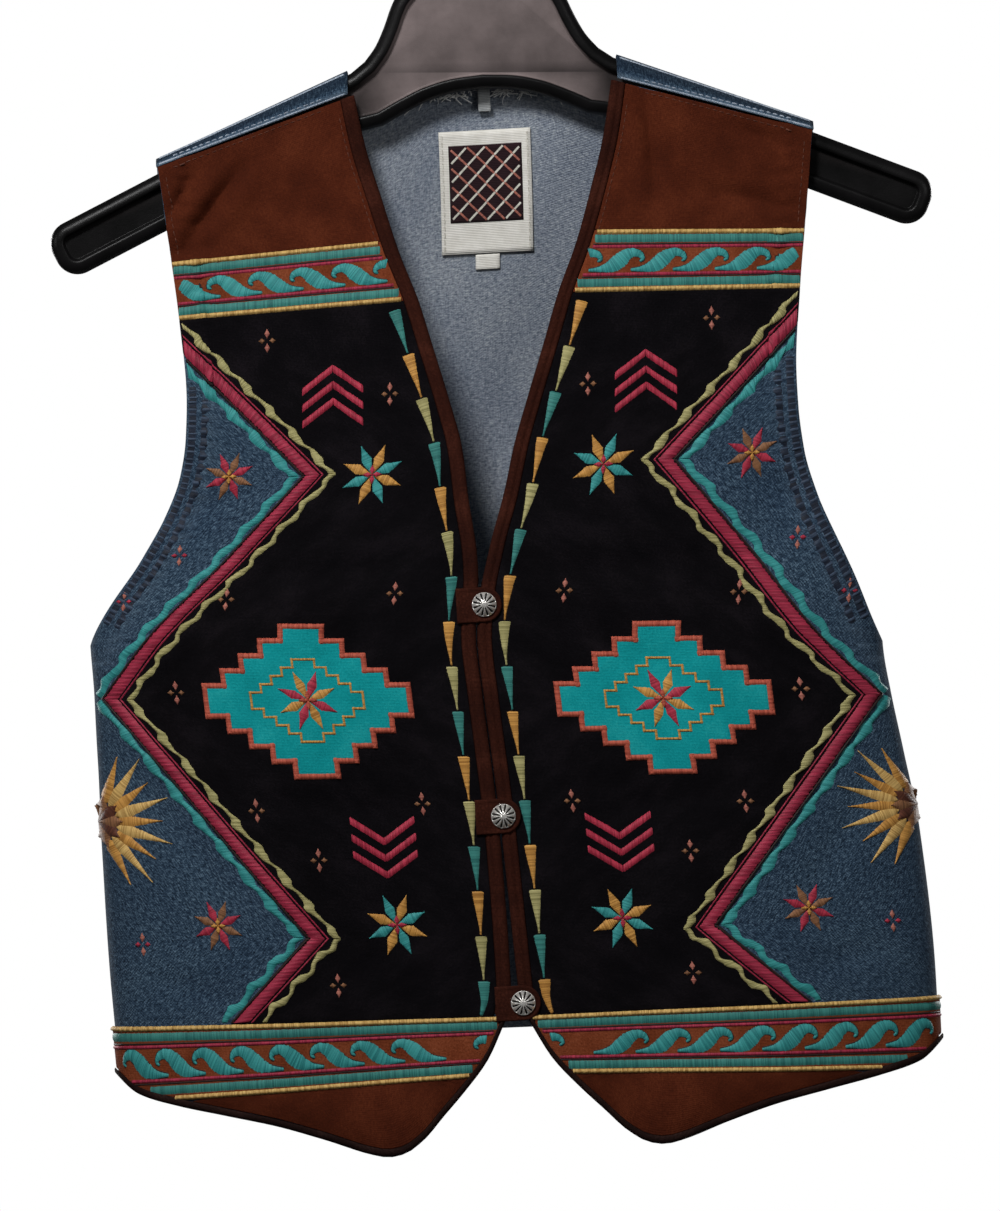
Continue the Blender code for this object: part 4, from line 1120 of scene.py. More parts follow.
def kept_on_front(a, b):
    """The part of a strip that lies on the front, within the armhole and between the bands."""
    def clear(edge):
        x, z = edge[:, 0], edge[:, 1]
        top = BANDS[0].foot_front + (BANDS[0].foot_side - BANDS[0].foot_front) * x / 0.15
        low = BANDS[1].head_front + (BANDS[1].head_side - BANDS[1].head_front) * x / 0.20
        return (x < side_at(z) - 0.0005) & (z < top - 0.0003) & (z > low + 0.0003)

    def evened(edge, count):
        return sampled(edge, np.linspace(0, len(edge) - 1, count))

    a, b = a[clear(a)], b[clear(b)]
    count = max(len(a), len(b))
    return (evened(a, count), evened(b, count)) if min(len(a), len(b)) > 3 else (a[:0], b[:0])


for side in (-1, 1):
    work = Work()
    for border in BORDERS:
        for k in range(len(CORNERS) - 1):
            a, b = kept_on_front(*border_run(border, k))
            if len(a) > 3:
                satin(work, side, a, b, border.thread, border.height, border.lift,
                      twist=float(border.thread == "wine"))
    work.joined(f"thread_border_{NAME[side]}", "worked_band")

# %% [markdown]
# ## Darts along the front edges
# Beside each binding runs a line of long darts in teal, gold and olive, each one tapering
# down into the next. A dart is a strip whose width falls from its head to its tip.

# %% The lines of darts
DART_LONG, DART_STEP, DART_HEAD, DART_TIP, DART_INSET = 0.0212, 0.0218, 0.0068, 0.0011, 0.0060
DART_TOP, DART_FOOT = -0.2215, -0.5650
DART_THREADS = ("sea", "gold", "olive")


def dart_line(z):
    """The line of darts, a little inside the binding."""
    return out_at(FRONT_EDGE, z) + EDGE_WIDTH + DART_INSET


for side in (-1, 1):
    work = Work()
    heads = np.arange(DART_TOP, DART_FOOT + 0.35 * DART_LONG, -DART_STEP)
    for k, head in enumerate(heads):
        z = np.linspace(head, max(head - DART_LONG, DART_FOOT), 12)
        path = pairs(dart_line(z), z)
        share = (head - z) / DART_LONG
        a, b = strip_edges(path, DART_HEAD + (DART_TIP - DART_HEAD) * np.minimum(share * 1.15, 1))
        satin(work, side, a, b, DART_THREADS[(k + (side > 0)) % 3])
    work.joined(f"thread_darts_{NAME[side]}", "worked_band")

# %% [markdown]
# ## Motifs on the panels
# The panels and the denim beside them carry plain geometric motifs: a stepped lozenge of teal
# cotton with a coral edge, eight-pointed stars, chevrons, small diamonds and a half sun at
# each side seam. All are common forms, set out here on a simple plan of their own.

# %% Stars, chevrons, diamonds and suns as strips
def kite(work, side, centre, angle, length, wide, thread, lift, belly=0.5):
    """One petal: a strip that swells from its root and closes at its tip."""
    run = np.array([math.cos(angle), math.sin(angle)])
    beside = np.array([-run[1], run[0]])
    share = np.linspace(0, 1, 15)[:, None]
    swell = np.where(share < belly, share / belly, (1 - share) / (1 - belly))
    path = np.array(centre) + share * length * run
    half = np.maximum(swell * wide / 2, 0.0002)
    satin(work, side, path + half * beside, path - half * beside, thread, lift=lift)


def star(work, side, centre, radius, threads, lift):
    """An eight-pointed star of petals in two threads by turns, with a small heart."""
    for k in range(8):
        angle = math.pi / 4 * (k + 0.5)
        kite(work, side, centre, angle, radius, 0.62 * radius * 0.62, threads[k % 2], lift)
    for k in range(4):
        kite(work, side, centre, math.pi / 2 * k, 0.30 * radius, 0.2 * radius, threads[2], lift + 0.0006)


def chevron(work, side, centre, half, rise, wide, thread, lift=ON_PANEL):
    """Two slanted strips that meet in a mitre; a plus rise points up."""
    x, z = centre
    for arm in (-1, 1):
        share = np.linspace(0, 1, 12)[:, None]
        top = np.array([x, z]) + share * np.array([arm * half, -rise])
        satin(work, side, top + [0, wide / 2], top - [0, wide / 2], thread, lift=lift)


def diamond(work, side, centre, tall, threads, lift):
    """Four small kites round a gap, as a diamond mark."""
    for k in range(4):
        angle = math.pi / 2 * k
        step = 0.10 * tall
        root = (centre[0] + step * math.cos(angle), centre[1] + step * math.sin(angle))
        kite(work, side, root, angle, (0.40 if k % 2 else 0.26) * tall, 0.26 * tall, threads[k % 2], lift)


FAN = 2.6


def half_sun(work, side, centre, radius, rays):
    """Rays from a side seam towards the front, round a dark heart."""
    for k in range(rays):
        angle = math.pi + FAN * ((k + 0.5) / rays - 0.5)
        long = radius * (1.0 if k % 2 else 0.82)
        root = (centre[0] + 0.24 * radius * math.cos(angle), centre[1] + 0.24 * radius * math.sin(angle))
        kite(work, side, root, angle, long * 0.78, 0.20 * radius, ("gold", "cord")[k % 2], ON_DENIM, 0.12)
    for k in range(5):
        angle = math.pi / 2 + math.pi * (k + 0.5) / 5
        kite(work, side, centre, angle, 0.34 * radius, 0.22 * radius, ("tan", "brown")[k % 2],
             ON_DENIM + 0.0005)

# %% The stepped lozenge
LOZENGE, LOZENGE_HALF, LOZENGE_TALL, STEPS = (0.0860, -0.4120), 0.0500, 0.0360, 5
TRIM_WIDE, INNER_SHARE = 0.0030, 0.55


def stepped(half, tall):
    """One quarter of a stepped outline, from its side corner up to its top, as distance and height."""
    corners = []
    for k in range(STEPS):
        reach = half * (STEPS - k) / STEPS
        corners += [(reach, tall * k / STEPS), (reach, tall * (k + 1) / STEPS)]
    return corners + [(0.0, tall)]


def outline_all(half, tall):
    quarter = np.array(stepped(half, tall))
    upper = np.concatenate([quarter, (quarter * [-1, 1])[-2::-1]])
    return np.concatenate([upper, (upper * [1, -1])[-2:0:-1]])


def lozenge_patch(side):
    """The teal cotton of the lozenge: a fine grid kept inside the steps."""
    cells_x, cells_z = 8 * STEPS, 8 * STEPS
    x = np.linspace(-LOZENGE_HALF, LOZENGE_HALF, cells_x + 1) + LOZENGE[0]
    z = np.linspace(-LOZENGE_TALL, LOZENGE_TALL, cells_z + 1) + LOZENGE[1]
    grid_x, grid_z = np.meshgrid(side * x, z)
    points, outward = place_at(grid_x, grid_z)
    ripple = 0.00025 * np.sin(grid_x * 420 + 3 * np.sin(grid_z * 150)) * np.sin(grid_z * 260 + 1)
    points = points + (ON_PANEL + 0.0001 + ripple * (ripple > 0))[..., None] * outward

    def keep(row, place):
        out = abs(place + 0.5 - cells_x / 2) / (cells_x / 2)
        up = int(abs(row + 0.5 - cells_z / 2) / (cells_z / 2) * STEPS)
        return out < (STEPS - up) / STEPS

    return ride_on(cloth_wall(f"cotton_lozenge_{NAME[side]}", points, outward, 0.0004, True,
                              (TEAL_CLOTH,), keep),
                   slot="worked_band")


def traced(work, side, outline, centre, wide, thread, height, lift):
    """A satin line along each straight side of a closed outline, lapped at its corners."""
    for start, end in zip(outline, np.roll(outline, -1, axis=0)):
        run = (end - start) / np.linalg.norm(end - start)
        beside = np.array([-run[1], run[0]]) * wide / 2
        path = np.stack([start - run * wide / 2, end + run * wide / 2]) + centre
        satin(work, side, path + beside, path - beside, thread, height, lift)


# %% Set out the motifs
Mark = namedtuple("Mark", "out height")
PANEL_STARS = table(Mark, [(0.0560, -0.3010), (0.0545, -0.5200)])
DENIM_STARS = table(Mark, [(0.1270, -0.2985), (0.1430, -0.5180)])
CHEVRONS = table(Mark, [(0.0760, -0.2480), (0.0760, -0.2560), (0.0760, -0.2640)])
LOW_CHEVRONS = table(Mark, [(0.0570, -0.4800), (0.0570, -0.4880), (0.0570, -0.4960)])
PANEL_DIAMONDS = table(Mark, [
    (0.1080, -0.2330), (0.0480, -0.2620), (0.0410, -0.3600), (0.1240, -0.3620), (0.1510, -0.4080),
    (0.1180, -0.4640), (0.0900, -0.4880), (0.0360, -0.4620), (0.0860, -0.5480),
])
DENIM_DIAMONDS = table(Mark, [(0.1500, -0.3380), (0.1760, -0.3620), (0.1820, -0.5260)])
SUN = Mark(0.1985, -0.4680)

for side in (-1, 1):
    lozenge_patch(side)
    work = Work()
    centre = np.array(LOZENGE)
    traced(work, side, outline_all(LOZENGE_HALF, LOZENGE_TALL), centre, TRIM_WIDE, "coral", 0.0010,
           ON_PANEL + 0.0003)
    inside = outline_all(INNER_SHARE * LOZENGE_HALF, INNER_SHARE * LOZENGE_TALL)
    traced(work, side, inside, centre, 0.0014, "gold", 0.0007, ON_PANEL + 0.0005)
    star(work, side, LOZENGE, 0.0150, ("crimson", "gold", "coral"), ON_PANEL + 0.0005)
    for mark in PANEL_STARS:
        star(work, side, mark, 0.0155, ("gold", "teal", "crimson"), ON_PANEL)
    for mark in CHEVRONS:
        chevron(work, side, mark, 0.0150, 0.0110, 0.0042, "crimson")
    for mark in LOW_CHEVRONS:
        chevron(work, side, mark, 0.0160, -0.0105, 0.0042, "crimson")
    for mark in PANEL_DIAMONDS:
        diamond(work, side, mark, 0.0115, ("tan", "rose"), ON_PANEL)
    work.joined(f"thread_motifs_{NAME[side]}", "worked_band")
    work = Work()
    for mark in DENIM_STARS:
        star(work, side, mark, 0.0125, ("tan", "crimson", "gold"), ON_DENIM)
    for mark in DENIM_DIAMONDS:
        diamond(work, side, mark, 0.0110, ("crimson", "rose"), ON_DENIM)
    half_sun(work, side, SUN, 0.0370, 9)
    work.joined(f"thread_denim_motifs_{NAME[side]}", "worked_band")

# %% [markdown]
# ## Sewing
# Topstitching holds the edges of the yokes, the shoulder strips, the back armholes and the back
# hem. A stitch is a short strip of thread with a gap after it. The front armholes are
# puckered by their stitches, so each has two rows of small pillows of denim.

# %% Rows of topstitching
STITCH, STITCH_GAP, STITCH_WIDE = 0.0023, 0.0011, 0.0006


def stitches(work, side, path, thread, lift, face=1, wide=STITCH_WIDE):
    """Short strips of thread along a path of distances out and heights."""
    path = np.asarray(path, float)
    line = cloth(side * path[:, 0], face * way_down(side * path[:, 0], path[:, 1]))
    arc = arc_of(line)
    for start in np.arange(0.001, arc[-1] - STITCH, STITCH + STITCH_GAP):
        at = np.interp([start, start + STITCH / 2, start + STITCH], arc, np.arange(len(arc)))
        satin(work, side, *strip_edges(sampled(path, at), wide), thread, 0.00045, lift, pitch=STITCH,
              face=face)


def armhole_line(inset, low=UNDERARM + 0.004, high=-0.150):
    z = np.linspace(low, high, 90)
    slope = armhole_slope(z)
    tilt = np.sqrt(1 + slope**2)
    return pairs(out_at(ARMHOLE, z) - inset / tilt, z + inset * slope / tilt)


def on_denim(path):
    """The part of a path that is clear of the panel and its border."""
    edge = np.interp(path[:, 1], column(ZIGZAG, "height"), column(ZIGZAG, "out"))
    return path[(path[:, 0] > edge + 0.008) & (path[:, 1] > UNDERARM + 0.012)]


Pucker = namedtuple("Pucker", "outer inner run rise")
RIM_TOP = -0.246
PUCKERS = table(Pucker, [(0.0006, 0.0056, 0.0031, 0.0008), (0.0068, 0.0112, 0.0036, 0.0006)])


def puckered_rim(work, side, row):
    """A dark strip along the armhole, with a small pillow of denim between each stitch and the next; between
    the pillows the strip is the hem's dark denim and painted shade of the valleys.
    """
    clear = on_denim(armhole_line(row.inner, high=RIM_TOP))
    lines = [armhole_line(inset, low=clear[0, 1], high=clear[-1, 1]) for inset in (row.outer, row.inner)]
    # The navy strip is partly the hem's dark denim and partly painted shade: it shows only in the valleys
    # between the pillows.
    satin(work, side, lines[1], lines[0], "navy_painted_shade", 0.0002, ON_DENIM)
    long = np.linalg.norm(np.diff(lines[0], axis=0), axis=1).sum()
    marks = np.linspace(0, len(lines[0]) - 1, int(long / row.run))
    for start, end in zip(marks[:-1], marks[1:]):
        at = np.linspace(start + 0.16 * (end - start), end - rng.uniform(0.20, 0.42) * (end - start), 5)
        a, b = (sampled(line, at) for line in lines)
        slip = rng.uniform(-0.0005, 0.0005, (1, 2))
        satin(work, side, b + slip, a + slip, "blue", row.rise * rng.uniform(0.7, 1.2), ON_DENIM,
              pitch=0.0016)


for side in (-1, 1):
    work = Work()
    for row in PUCKERS:
        puckered_rim(work, side, row)
    for inset in (0.0030, 0.0100):
        stitches(work, side, armhole_line(inset, high=-0.176), "blue", ON_DENIM, face=-1)
    z = np.linspace(-0.1885, -0.125, 40)
    stitches(work, side, pairs(out_at(FRONT_EDGE, z) + EDGE_WIDTH + 0.0022, z), "brown", ON_PANEL)
    stitches(work, side, armhole_line(0.0035, low=-0.190, high=-0.150), "brown", ON_PANEL)
    x = np.linspace(0.0780, 0.1520, 50)
    seam = np.interp(x, [NECK_OUT, ARMHOLE[-1].out], [LEVELS[-1].at_front, LEVELS[-1].at_side])
    stitches(work, side, pairs(x, seam - 0.0035), "brown", ON_PANEL)
    stitches(work, side, pairs(x, seam + 0.0024), "faded", ON_DENIM)
    x = np.linspace(NECK_OUT + 0.0015, ARMHOLE[-1].out - 0.0015, 60)
    seam = np.interp(x, [NECK_OUT, ARMHOLE[-1].out], [SEAM_DROP_AT_NECK, SEAM_DROP_AT_TIP])
    for drop in (seam - 0.0008, 0.10 * seam):
        satin(work, side, *strip_edges(pairs(x, ridge_at(x) - drop), 0.0009), "faded", 0.0003, ON_DENIM)
    x = np.linspace(0.001, 0.196, 160)
    for rise in (0.0060, 0.0120):
        stitches(work, side, pairs(x, back_hem(x) + rise), "blue", ON_DENIM, face=-1)
    work.joined(f"topstitching_{NAME[side]}", "denim")

# %% [markdown]
# ## Tabs and buttons
# Three small tabs reach from the left front edge across the opening, and a fluted dome button
# sits on each. The tab is a stack of shrinking outlines, which gives it a soft turned edge.
# The dome is a polar grid: its height falls from the middle, and a wave round it makes flutes.

# %% Tabs
Button = namedtuple("Button", "name height shift")
BUTTONS = table(Button, [
    ("top", -0.3660, 0.0030), ("middle", -0.4687, 0.0022), ("bottom", -0.5595, 0.0036),
])
TAB_HALF, TAB_REACH, TAB_THICK, TAB_EASE = 0.0085, 0.0135, 0.0012, 0.0001
TAB_RINGS = [(0.0000, -0.0006), (0.0000, 0.0002), (0.0005, 0.0006), (0.0014, 0.0007), (0.0020, 0.0004),
             (0.0027, 0.0006), (0.0050, 0.0007)]


def placed(button, lift):
    """Where a fastening sits: a frame with its z along the way out of the cloth."""
    point, out = place_at(np.array([button.shift]), np.array([button.height]))
    turn = Vector(out[0]).to_track_quat("Z", "Y").to_matrix().to_4x4()
    return Matrix.Translation(Vector(point[0]) + lift * Vector(out[0])) @ turn


def tab_outline(inset):
    turns = np.linspace(-math.pi / 2, math.pi / 2, 25)
    half = TAB_HALF - inset
    nose = pairs(half * np.cos(turns), half * np.sin(turns))
    back_edge = np.linspace(0, 1, 13)[1:, None]
    top = nose[-1] + back_edge * (np.array([-TAB_REACH + inset, half]) - nose[-1])
    heel = np.array([-TAB_REACH + inset, half]) + back_edge * np.array([0, -2 * half])
    foot = heel[-1] + back_edge[:-1] * (nose[0] - heel[-1])
    return np.concatenate([nose, top, heel, foot])


def ring_mesh(name, rings, finish):
    """A closed skin over loops of equal count, with a face over the first and the last."""
    count = len(rings[0])
    faces = []
    for k in range(len(rings) - 1):
        for n in range(count):
            a, b = k * count + n, k * count + (n + 1) % count
            faces.append((a, b, b + count, a + count))
    faces.append(tuple(range((len(rings) - 1) * count, len(rings) * count)))
    faces.append(tuple(range(count - 1, -1, -1)))
    mesh = bpy.data.meshes.new(name)
    mesh.from_pydata(np.concatenate(rings).tolist(), [], faces)
    mesh.materials.append(finish)
    mesh.shade_smooth()
    thing = linked(name, mesh)
    return thing


def flat_weave(thing, first=0, second=1):
    """Places on the flat cloth taken straight from two of the axes."""
    weave = thing.data.uv_layers.new(name="weave")
    at = np.array([thing.data.vertices[loop.vertex_index].co for loop in thing.data.loops])
    weave.data.foreach_set("uv", at[:, [first, second]].ravel())


ON_TAB = GAP + LAYER + GAP + TAB_THICK / 2 + TAB_EASE
for button in BUTTONS:
    rings = []
    for inset, rise in TAB_RINGS:
        edge = tab_outline(inset)
        rings.append(np.column_stack([edge, np.full(len(edge), rise)]))
    tab = ring_mesh(f"cloth_tab_{button.name}", rings, BROWN)
    flat_weave(tab)
    tab.matrix_world = placed(button, ON_TAB)
    ride_on(tab, f"tab_{button.name}", slot="brown_cotton")
print("tabs made:", len(BUTTONS))

# %% Silver finish and fluted dome buttons
def silver_finish():
    """Bright metal that is dull in its hollows."""
    material, tree, shader = new_finish("silver_metal", 0.30, 0.0, 0.6)
    hollow = node(tree, "ShaderNodeAttribute", attribute_name="wear").outputs["Fac"]
    where = node(tree, "ShaderNodeTexCoord").outputs["Object"]
    scuff = noise(tree, where, 900.0, 3.0, 0.6)
    bright = ramp(tree, scuff, [(0.3, linear(206, 202, 196)), (0.7, linear(236, 234, 230))])
    tree.links.new(mix(tree, hollow, bright, linear(14, 12, 11)), shader.inputs["Base Color"])
    rough = node(tree, "ShaderNodeMapRange", {"Value": scuff, "To Min": 0.16, "To Max": 0.36}).outputs[0]
    tree.links.new(rough, shader.inputs["Roughness"])
    bumped(tree, shader, [(scuff, 0.00006)])
    return material


SILVER = silver_finish()
BUTTON_RADIUS, BUTTON_HEIGHT, FLUTES, FLUTE_DEEP = 0.0059, 0.0042, 12, 0.0013
for button in BUTTONS:
    turns = np.linspace(0, 2 * math.pi, 16 * FLUTES, endpoint=False)
    foot = 0.9 * BUTTON_RADIUS
    rings = [np.column_stack([foot * np.cos(turns), foot * np.sin(turns), 0 * turns])]
    hollows = [0 * turns]
    for share in np.concatenate([[1.0, 1.0], np.cos(np.linspace(0.12, math.pi / 2 - 0.10, 22))]):
        up = 0.12 if len(rings) == 1 else (1 - share**2.2) * 0.88 + 0.12
        valley = (0.5 - 0.5 * np.cos(turns * FLUTES)) ** 2.6
        strength = ease((share - 0.16) / 0.25) * ease((0.985 - share) / 0.12)
        radius = BUTTON_RADIUS * share * np.ones_like(turns)
        high = BUTTON_HEIGHT * up - FLUTE_DEEP * valley * strength
        rings.append(np.column_stack([radius * np.cos(turns), radius * np.sin(turns), high]))
        hollows.append(ease((valley * strength - 0.25) / 0.35))
    dome = ring_mesh(f"fluted_button_{button.name}", rings, SILVER)
    paint_wear_and_sheen(dome.data, np.concatenate(hollows))
    dome.matrix_world = placed(button, ON_TAB + TAB_THICK / 2 + GAP)
    ride_on(dome, f"button_{button.name}", slot="silver_metal")
print("flutes on a button:", FLUTES)

# %% [markdown]
# ## Inside the back neck
# A cream woven label is sewn inside the back, with a small tab under it and a short loop of
# tape at the neck edge. The label is left without words: it has a dark woven square with a
# plain lattice. Loose white yarn shows along the neck edge, where the denim has frayed.

# %% Tape and label finishes
def tape_finish(name, deep, light):
    """Woven tape: fine ribs across and a little dirt."""
    material, tree, shader = new_finish(name, 0.75, 0.1)
    weave = node(tree, "ShaderNodeUVMap", uv_map="weave").outputs[0]
    rib = node(tree, "ShaderNodeTexWave", {"Vector": weave, "Scale": 380.0, "Distortion": 0.4},
               bands_direction="Y").outputs["Fac"]
    dirt = noise(tree, stretched(tree, weave, (160, 140, 1)), 1.0, 3.0, 0.6)
    tone = mix(tree, 0.6, rib, dirt)
    tree.links.new(ramp(tree, tone, [(0.2, deep), (0.8, light)]), shader.inputs["Base Color"])
    bumped(tree, shader, [(rib, 0.00010), (dirt, 0.0002)])
    return material


CREAM = tape_finish("cream_tape", linear(206, 202, 192), linear(246, 244, 238))
GREY_TAPE = tape_finish("grey_tape", linear(132, 136, 138), linear(186, 188, 188))
WOVEN_DARK = tape_finish("label_dark_weave", linear(26, 16, 20), linear(52, 34, 38))
print("tapes made")

# %% Label, its woven square, and the small tab
LABEL_FOOT, LABEL_HEAD = -0.1945, -0.1345
SQUARE_HALF, SQUARE_FOOT, SQUARE_HEAD = 0.0180, -0.1790, -0.1415
SIZE_TAB_HALF, SIZE_TAB_LONG = 0.0060, 0.0075
INSIDE = DENIM + GAP


def inside_patch(name, half, foot, head, depth, thick, finish, curl=0.0, cells=(18, 22)):
    """A small cloth patch on the inside of the back, a little lifted at its edges."""
    x, z = np.meshgrid(np.linspace(-half, half, cells[0] + 1), np.linspace(foot, head, cells[1] + 1))
    points, outward = place_at(x, z, -1)
    rim = np.maximum((np.abs(x) / half) ** 6, (np.abs(2 * (z - foot) / (head - foot) - 1)) ** 6)
    points = points - (INSIDE + depth + curl * rim)[..., None] * outward
    return cloth_wall(name, points, outward, thick, False, (finish,))


ride_on(inside_patch("woven_label", LABEL_HALF, LABEL_FOOT, LABEL_HEAD, 0.0, 0.0006, CREAM, 0.0004),
        "label", slot="cream_tape")
ride_on(inside_patch("woven_label_square", SQUARE_HALF, SQUARE_FOOT, SQUARE_HEAD, 0.00065, 0.0002,
                     WOVEN_DARK), slot="cream_tape")
ride_on(inside_patch("woven_size_tab", SIZE_TAB_HALF, LABEL_FOOT - GAP - SIZE_TAB_LONG, LABEL_FOOT - GAP,
                     0.0, 0.0007,
                                CREAM, cells=(6, 6)), "size_tab", slot="cream_tape")
work = Work()
LATTICE, LATTICE_IN = 0.0090, 0.0008
for slant in (-1, 1):
    for k in range(-5, 6):
        middle = np.array([(SQUARE_FOOT + SQUARE_HEAD) / 2 + k * LATTICE])
        x = np.linspace(-SQUARE_HALF, SQUARE_HALF, 60)
        z = middle + slant * x
        within = (z > SQUARE_FOOT + LATTICE_IN) & (z < SQUARE_HEAD - LATTICE_IN)
        within &= np.abs(x) < SQUARE_HALF - LATTICE_IN
        if within.sum() > 6:
            path = pairs(x[within], z[within])
            satin(work, 1, *strip_edges(path, 0.0010), ("rose", "cream")[slant > 0], -0.0003,
                  -(INSIDE + 0.0009), face=-1)
for x in (-LABEL_HALF + 0.0015, LABEL_HALF - 0.0015):
    z = np.linspace(LABEL_FOOT + 0.001, LABEL_HEAD - 0.001, 30)
    stitches(work, 1, pairs(np.full_like(z, x), z), "cream", -(INSIDE + 0.0011), face=-1)
work.joined("thread_label", "cream_tape")

# %% The hang loop and the frayed neck edge
LOOP_WIDE, LOOP_TALL, LOOP_DEEP, LOOP_TOP = 0.0060, 0.0125, 0.0032, -0.1135
top = cloth(np.array([0.0]), -way_down(np.array([0.0]), LOOP_TOP))[0]
loop_back = top[1] - DENIM - GAP
turns = np.linspace(0, 2 * math.pi, 48, endpoint=False)
ring = pairs(np.sign(np.cos(turns)) * np.abs(np.cos(turns)) ** 0.45 * LOOP_DEEP / 2,
                 np.sign(np.sin(turns)) * np.abs(np.sin(turns)) ** 0.35 * LOOP_TALL / 2)
across_loop = np.linspace(-LOOP_WIDE / 2, LOOP_WIDE / 2, 7)
loop_points = np.array([[(x, loop_back - LOOP_DEEP / 2 + y, LOOP_TOP - LOOP_TALL / 2 + z)
                         for x in across_loop]
                        for y, z in np.concatenate([ring, ring[:1]])])
loop_out = np.array([[(0, y, z) for x in across_loop] for y, z in np.concatenate([ring, ring[:1]])])
ride_on(cloth_wall("tape_hang_loop", loop_points, loop_out, 0.0007, False, (GREY_TAPE,)), "hang_loop",
        slot="grey_tape")

work = Work()
FRAY_COUNT, FRAY_LONG, FRAY_WIDE = 190, 0.0080, 0.00060
for k in range(FRAY_COUNT):
    x = rng.uniform(-0.046, 0.046)
    if abs(x) < 0.006:
        continue
    point, out = place_at(np.array([x]), neck_at(np.array([x])) - rng.uniform(0.0003, 0.0050), -1)
    share = np.linspace(0, 1, 6)[:, None]
    lean = np.array([rng.uniform(-1, 1), 0, rng.uniform(-0.7, 0.35)])
    curl = np.array([rng.uniform(-1, 1), 0, rng.uniform(-0.6, 0.2)])
    root = point[0] - (DENIM + 0.0003 + 0.0008 * rng.uniform(0, 1)) * out[0]
    path = root + FRAY_LONG * rng.uniform(0.4, 1) * (lean * share + 0.6 * curl * share**2)
    path = path - 0.0012 * np.sin(math.pi * share) * out[0]
    beside = np.array([lean[2], 0, -lean[0]]) / (np.linalg.norm(lean) + 1e-9) * FRAY_WIDE / 2
    crown = -FRAY_WIDE * 0.6 * out[0]
    work.add(np.stack([path - beside, path + crown, path + beside, path - beside], axis=1), "white")
work.joined("frayed_neck_yarn", "denim")

# %% [markdown]
# ## The hanger
# The hanger is moulded in dark plastic with a rounded rim round a sunk face. Loops of its
# outline, each a little further in and deeper, are joined into one skin: this rounds the rim
# evenly, which is hard to do with a bevel on so many corners.

# %% Plastic finish
def plastic_finish():
    """Satin plastic, scuffed, with a painted sheen: the sunk face of the bell is painted a little paler."""
    material, tree, shader = new_finish("dark_plastic", 0.34, specular=0.14)
    where = node(tree, "ShaderNodeTexCoord").outputs["Object"]
    # On the plastic the wear attribute carries a painted sheen: the sunk face of the bell is painted paler
    # grey.
    painted_sheen = node(tree, "ShaderNodeAttribute", attribute_name="wear").outputs["Fac"]
    cloud = noise(tree, where, 40.0, 4.0, 0.6)
    grain = noise(tree, where, 1800.0, 2.0, 0.6)
    dark = ramp(tree, cloud, [(0.3, linear(10, 10, 10)), (0.7, linear(20, 19, 20))])
    pale = ramp(tree, cloud, [(0.3, linear(104, 94, 93)), (0.7, linear(134, 121, 120))])
    tree.links.new(mix(tree, painted_sheen, dark, pale), shader.inputs["Base Color"])
    rough = node(tree, "ShaderNodeMapRange", {"Value": cloud, "To Min": 0.26, "To Max": 0.46}).outputs[0]
    tree.links.new(rough, shader.inputs["Roughness"])
    bumped(tree, shader, [(grain, 0.00006), (cloud, 0.0003)])
    return material


PLASTIC = plastic_finish()

# %% Hanger body
HANGER_THICK, HANGER_ROUND, RIM, RECESS = 0.0130, 0.0050, 0.0065, 0.0035
ARM_TALL, ARM_SLOPE, ARM_END, ARM_CORNER, ARM_ROOT = 0.0265, 0.445, 0.2188, 0.0110, 0.0640
UNDER_CLOTH = 0.0022
BELL = table(Hem, [
    (0.0000, -0.0540), (0.0200, -0.0555), (0.0330, -0.0610), (0.0400, -0.0680), (0.0430, -0.0735),
    (0.0465, -0.0820), (0.0514, -0.0915), (0.0570, -0.0985),
])
ARCH = table(Hem, [
    (0.0500, -0.1300), (0.0380, -0.1240), (0.0260, -0.1190), (0.0130, -0.1160), (0.0000, -0.1150),
])


def arc_points(centre, radius, start, end, steps):
    turns = [math.radians(start + (end - start) * k / steps) for k in range(steps + 1)]
    return [(centre[0] + radius * math.cos(t), centre[1] + radius * math.sin(t)) for t in turns]


def hanger_outline():
    """The whole outline of the hanger, from the bell's top round by the right arm."""
    slope = math.atan(ARM_SLOPE)
    run = (math.cos(slope), -math.sin(slope))
    across_arm = (-run[1], run[0])
    root = float(ridge_at(ARM_ROOT)) - UNDER_CLOTH
    top_end = (ARM_END, root - ARM_SLOPE * (ARM_END - ARM_ROOT))
    low_end = tuple(t - ARM_TALL * a for t, a in zip(top_end, across_arm))
    bell_x = np.linspace(0, BELL[-1].out, 40)
    half = list(zip(bell_x, smooth(bell_x, column(BELL, "out"), column(BELL, "height"))))
    half += [(x, root - ARM_SLOPE * (x - ARM_ROOT))
             for x in np.linspace(ARM_ROOT, ARM_END - 2 * ARM_CORNER, 24)]
    for corner, sign, first in ((top_end, -1, 90), (low_end, 1, 0)):
        steps = zip(corner, run, across_arm)
        centre = [c - ARM_CORNER * r + sign * ARM_CORNER * a for c, r, a in steps]
        turn = math.degrees(slope)
        half += arc_points(centre, ARM_CORNER, first - turn, first - 90 - turn, 14)
    half += [(x, low_end[1] + ARM_SLOPE * (low_end[0] - x))
             for x in np.linspace(ARM_END - 3 * ARM_CORNER, ARM_ROOT, 24)]
    arch_x = np.linspace(ARCH[0].out, 0, 24)
    half += list(zip(arch_x, smooth(arch_x, column(ARCH, "out")[::-1], column(ARCH, "height")[::-1])))
    return np.array(half + [(-x, z) for x, z in half[-2:0:-1]], float)


def inset(outline, by):
    """The outline moved in by an even rim."""
    edges = unit(np.roll(outline, -1, axis=0) - outline)
    inward = pairs(edges[:, 1], -edges[:, 0])
    mean = inward + np.roll(inward, 1, axis=0)
    return outline + by * mean / (mean * inward).sum(axis=1, keepdims=True)


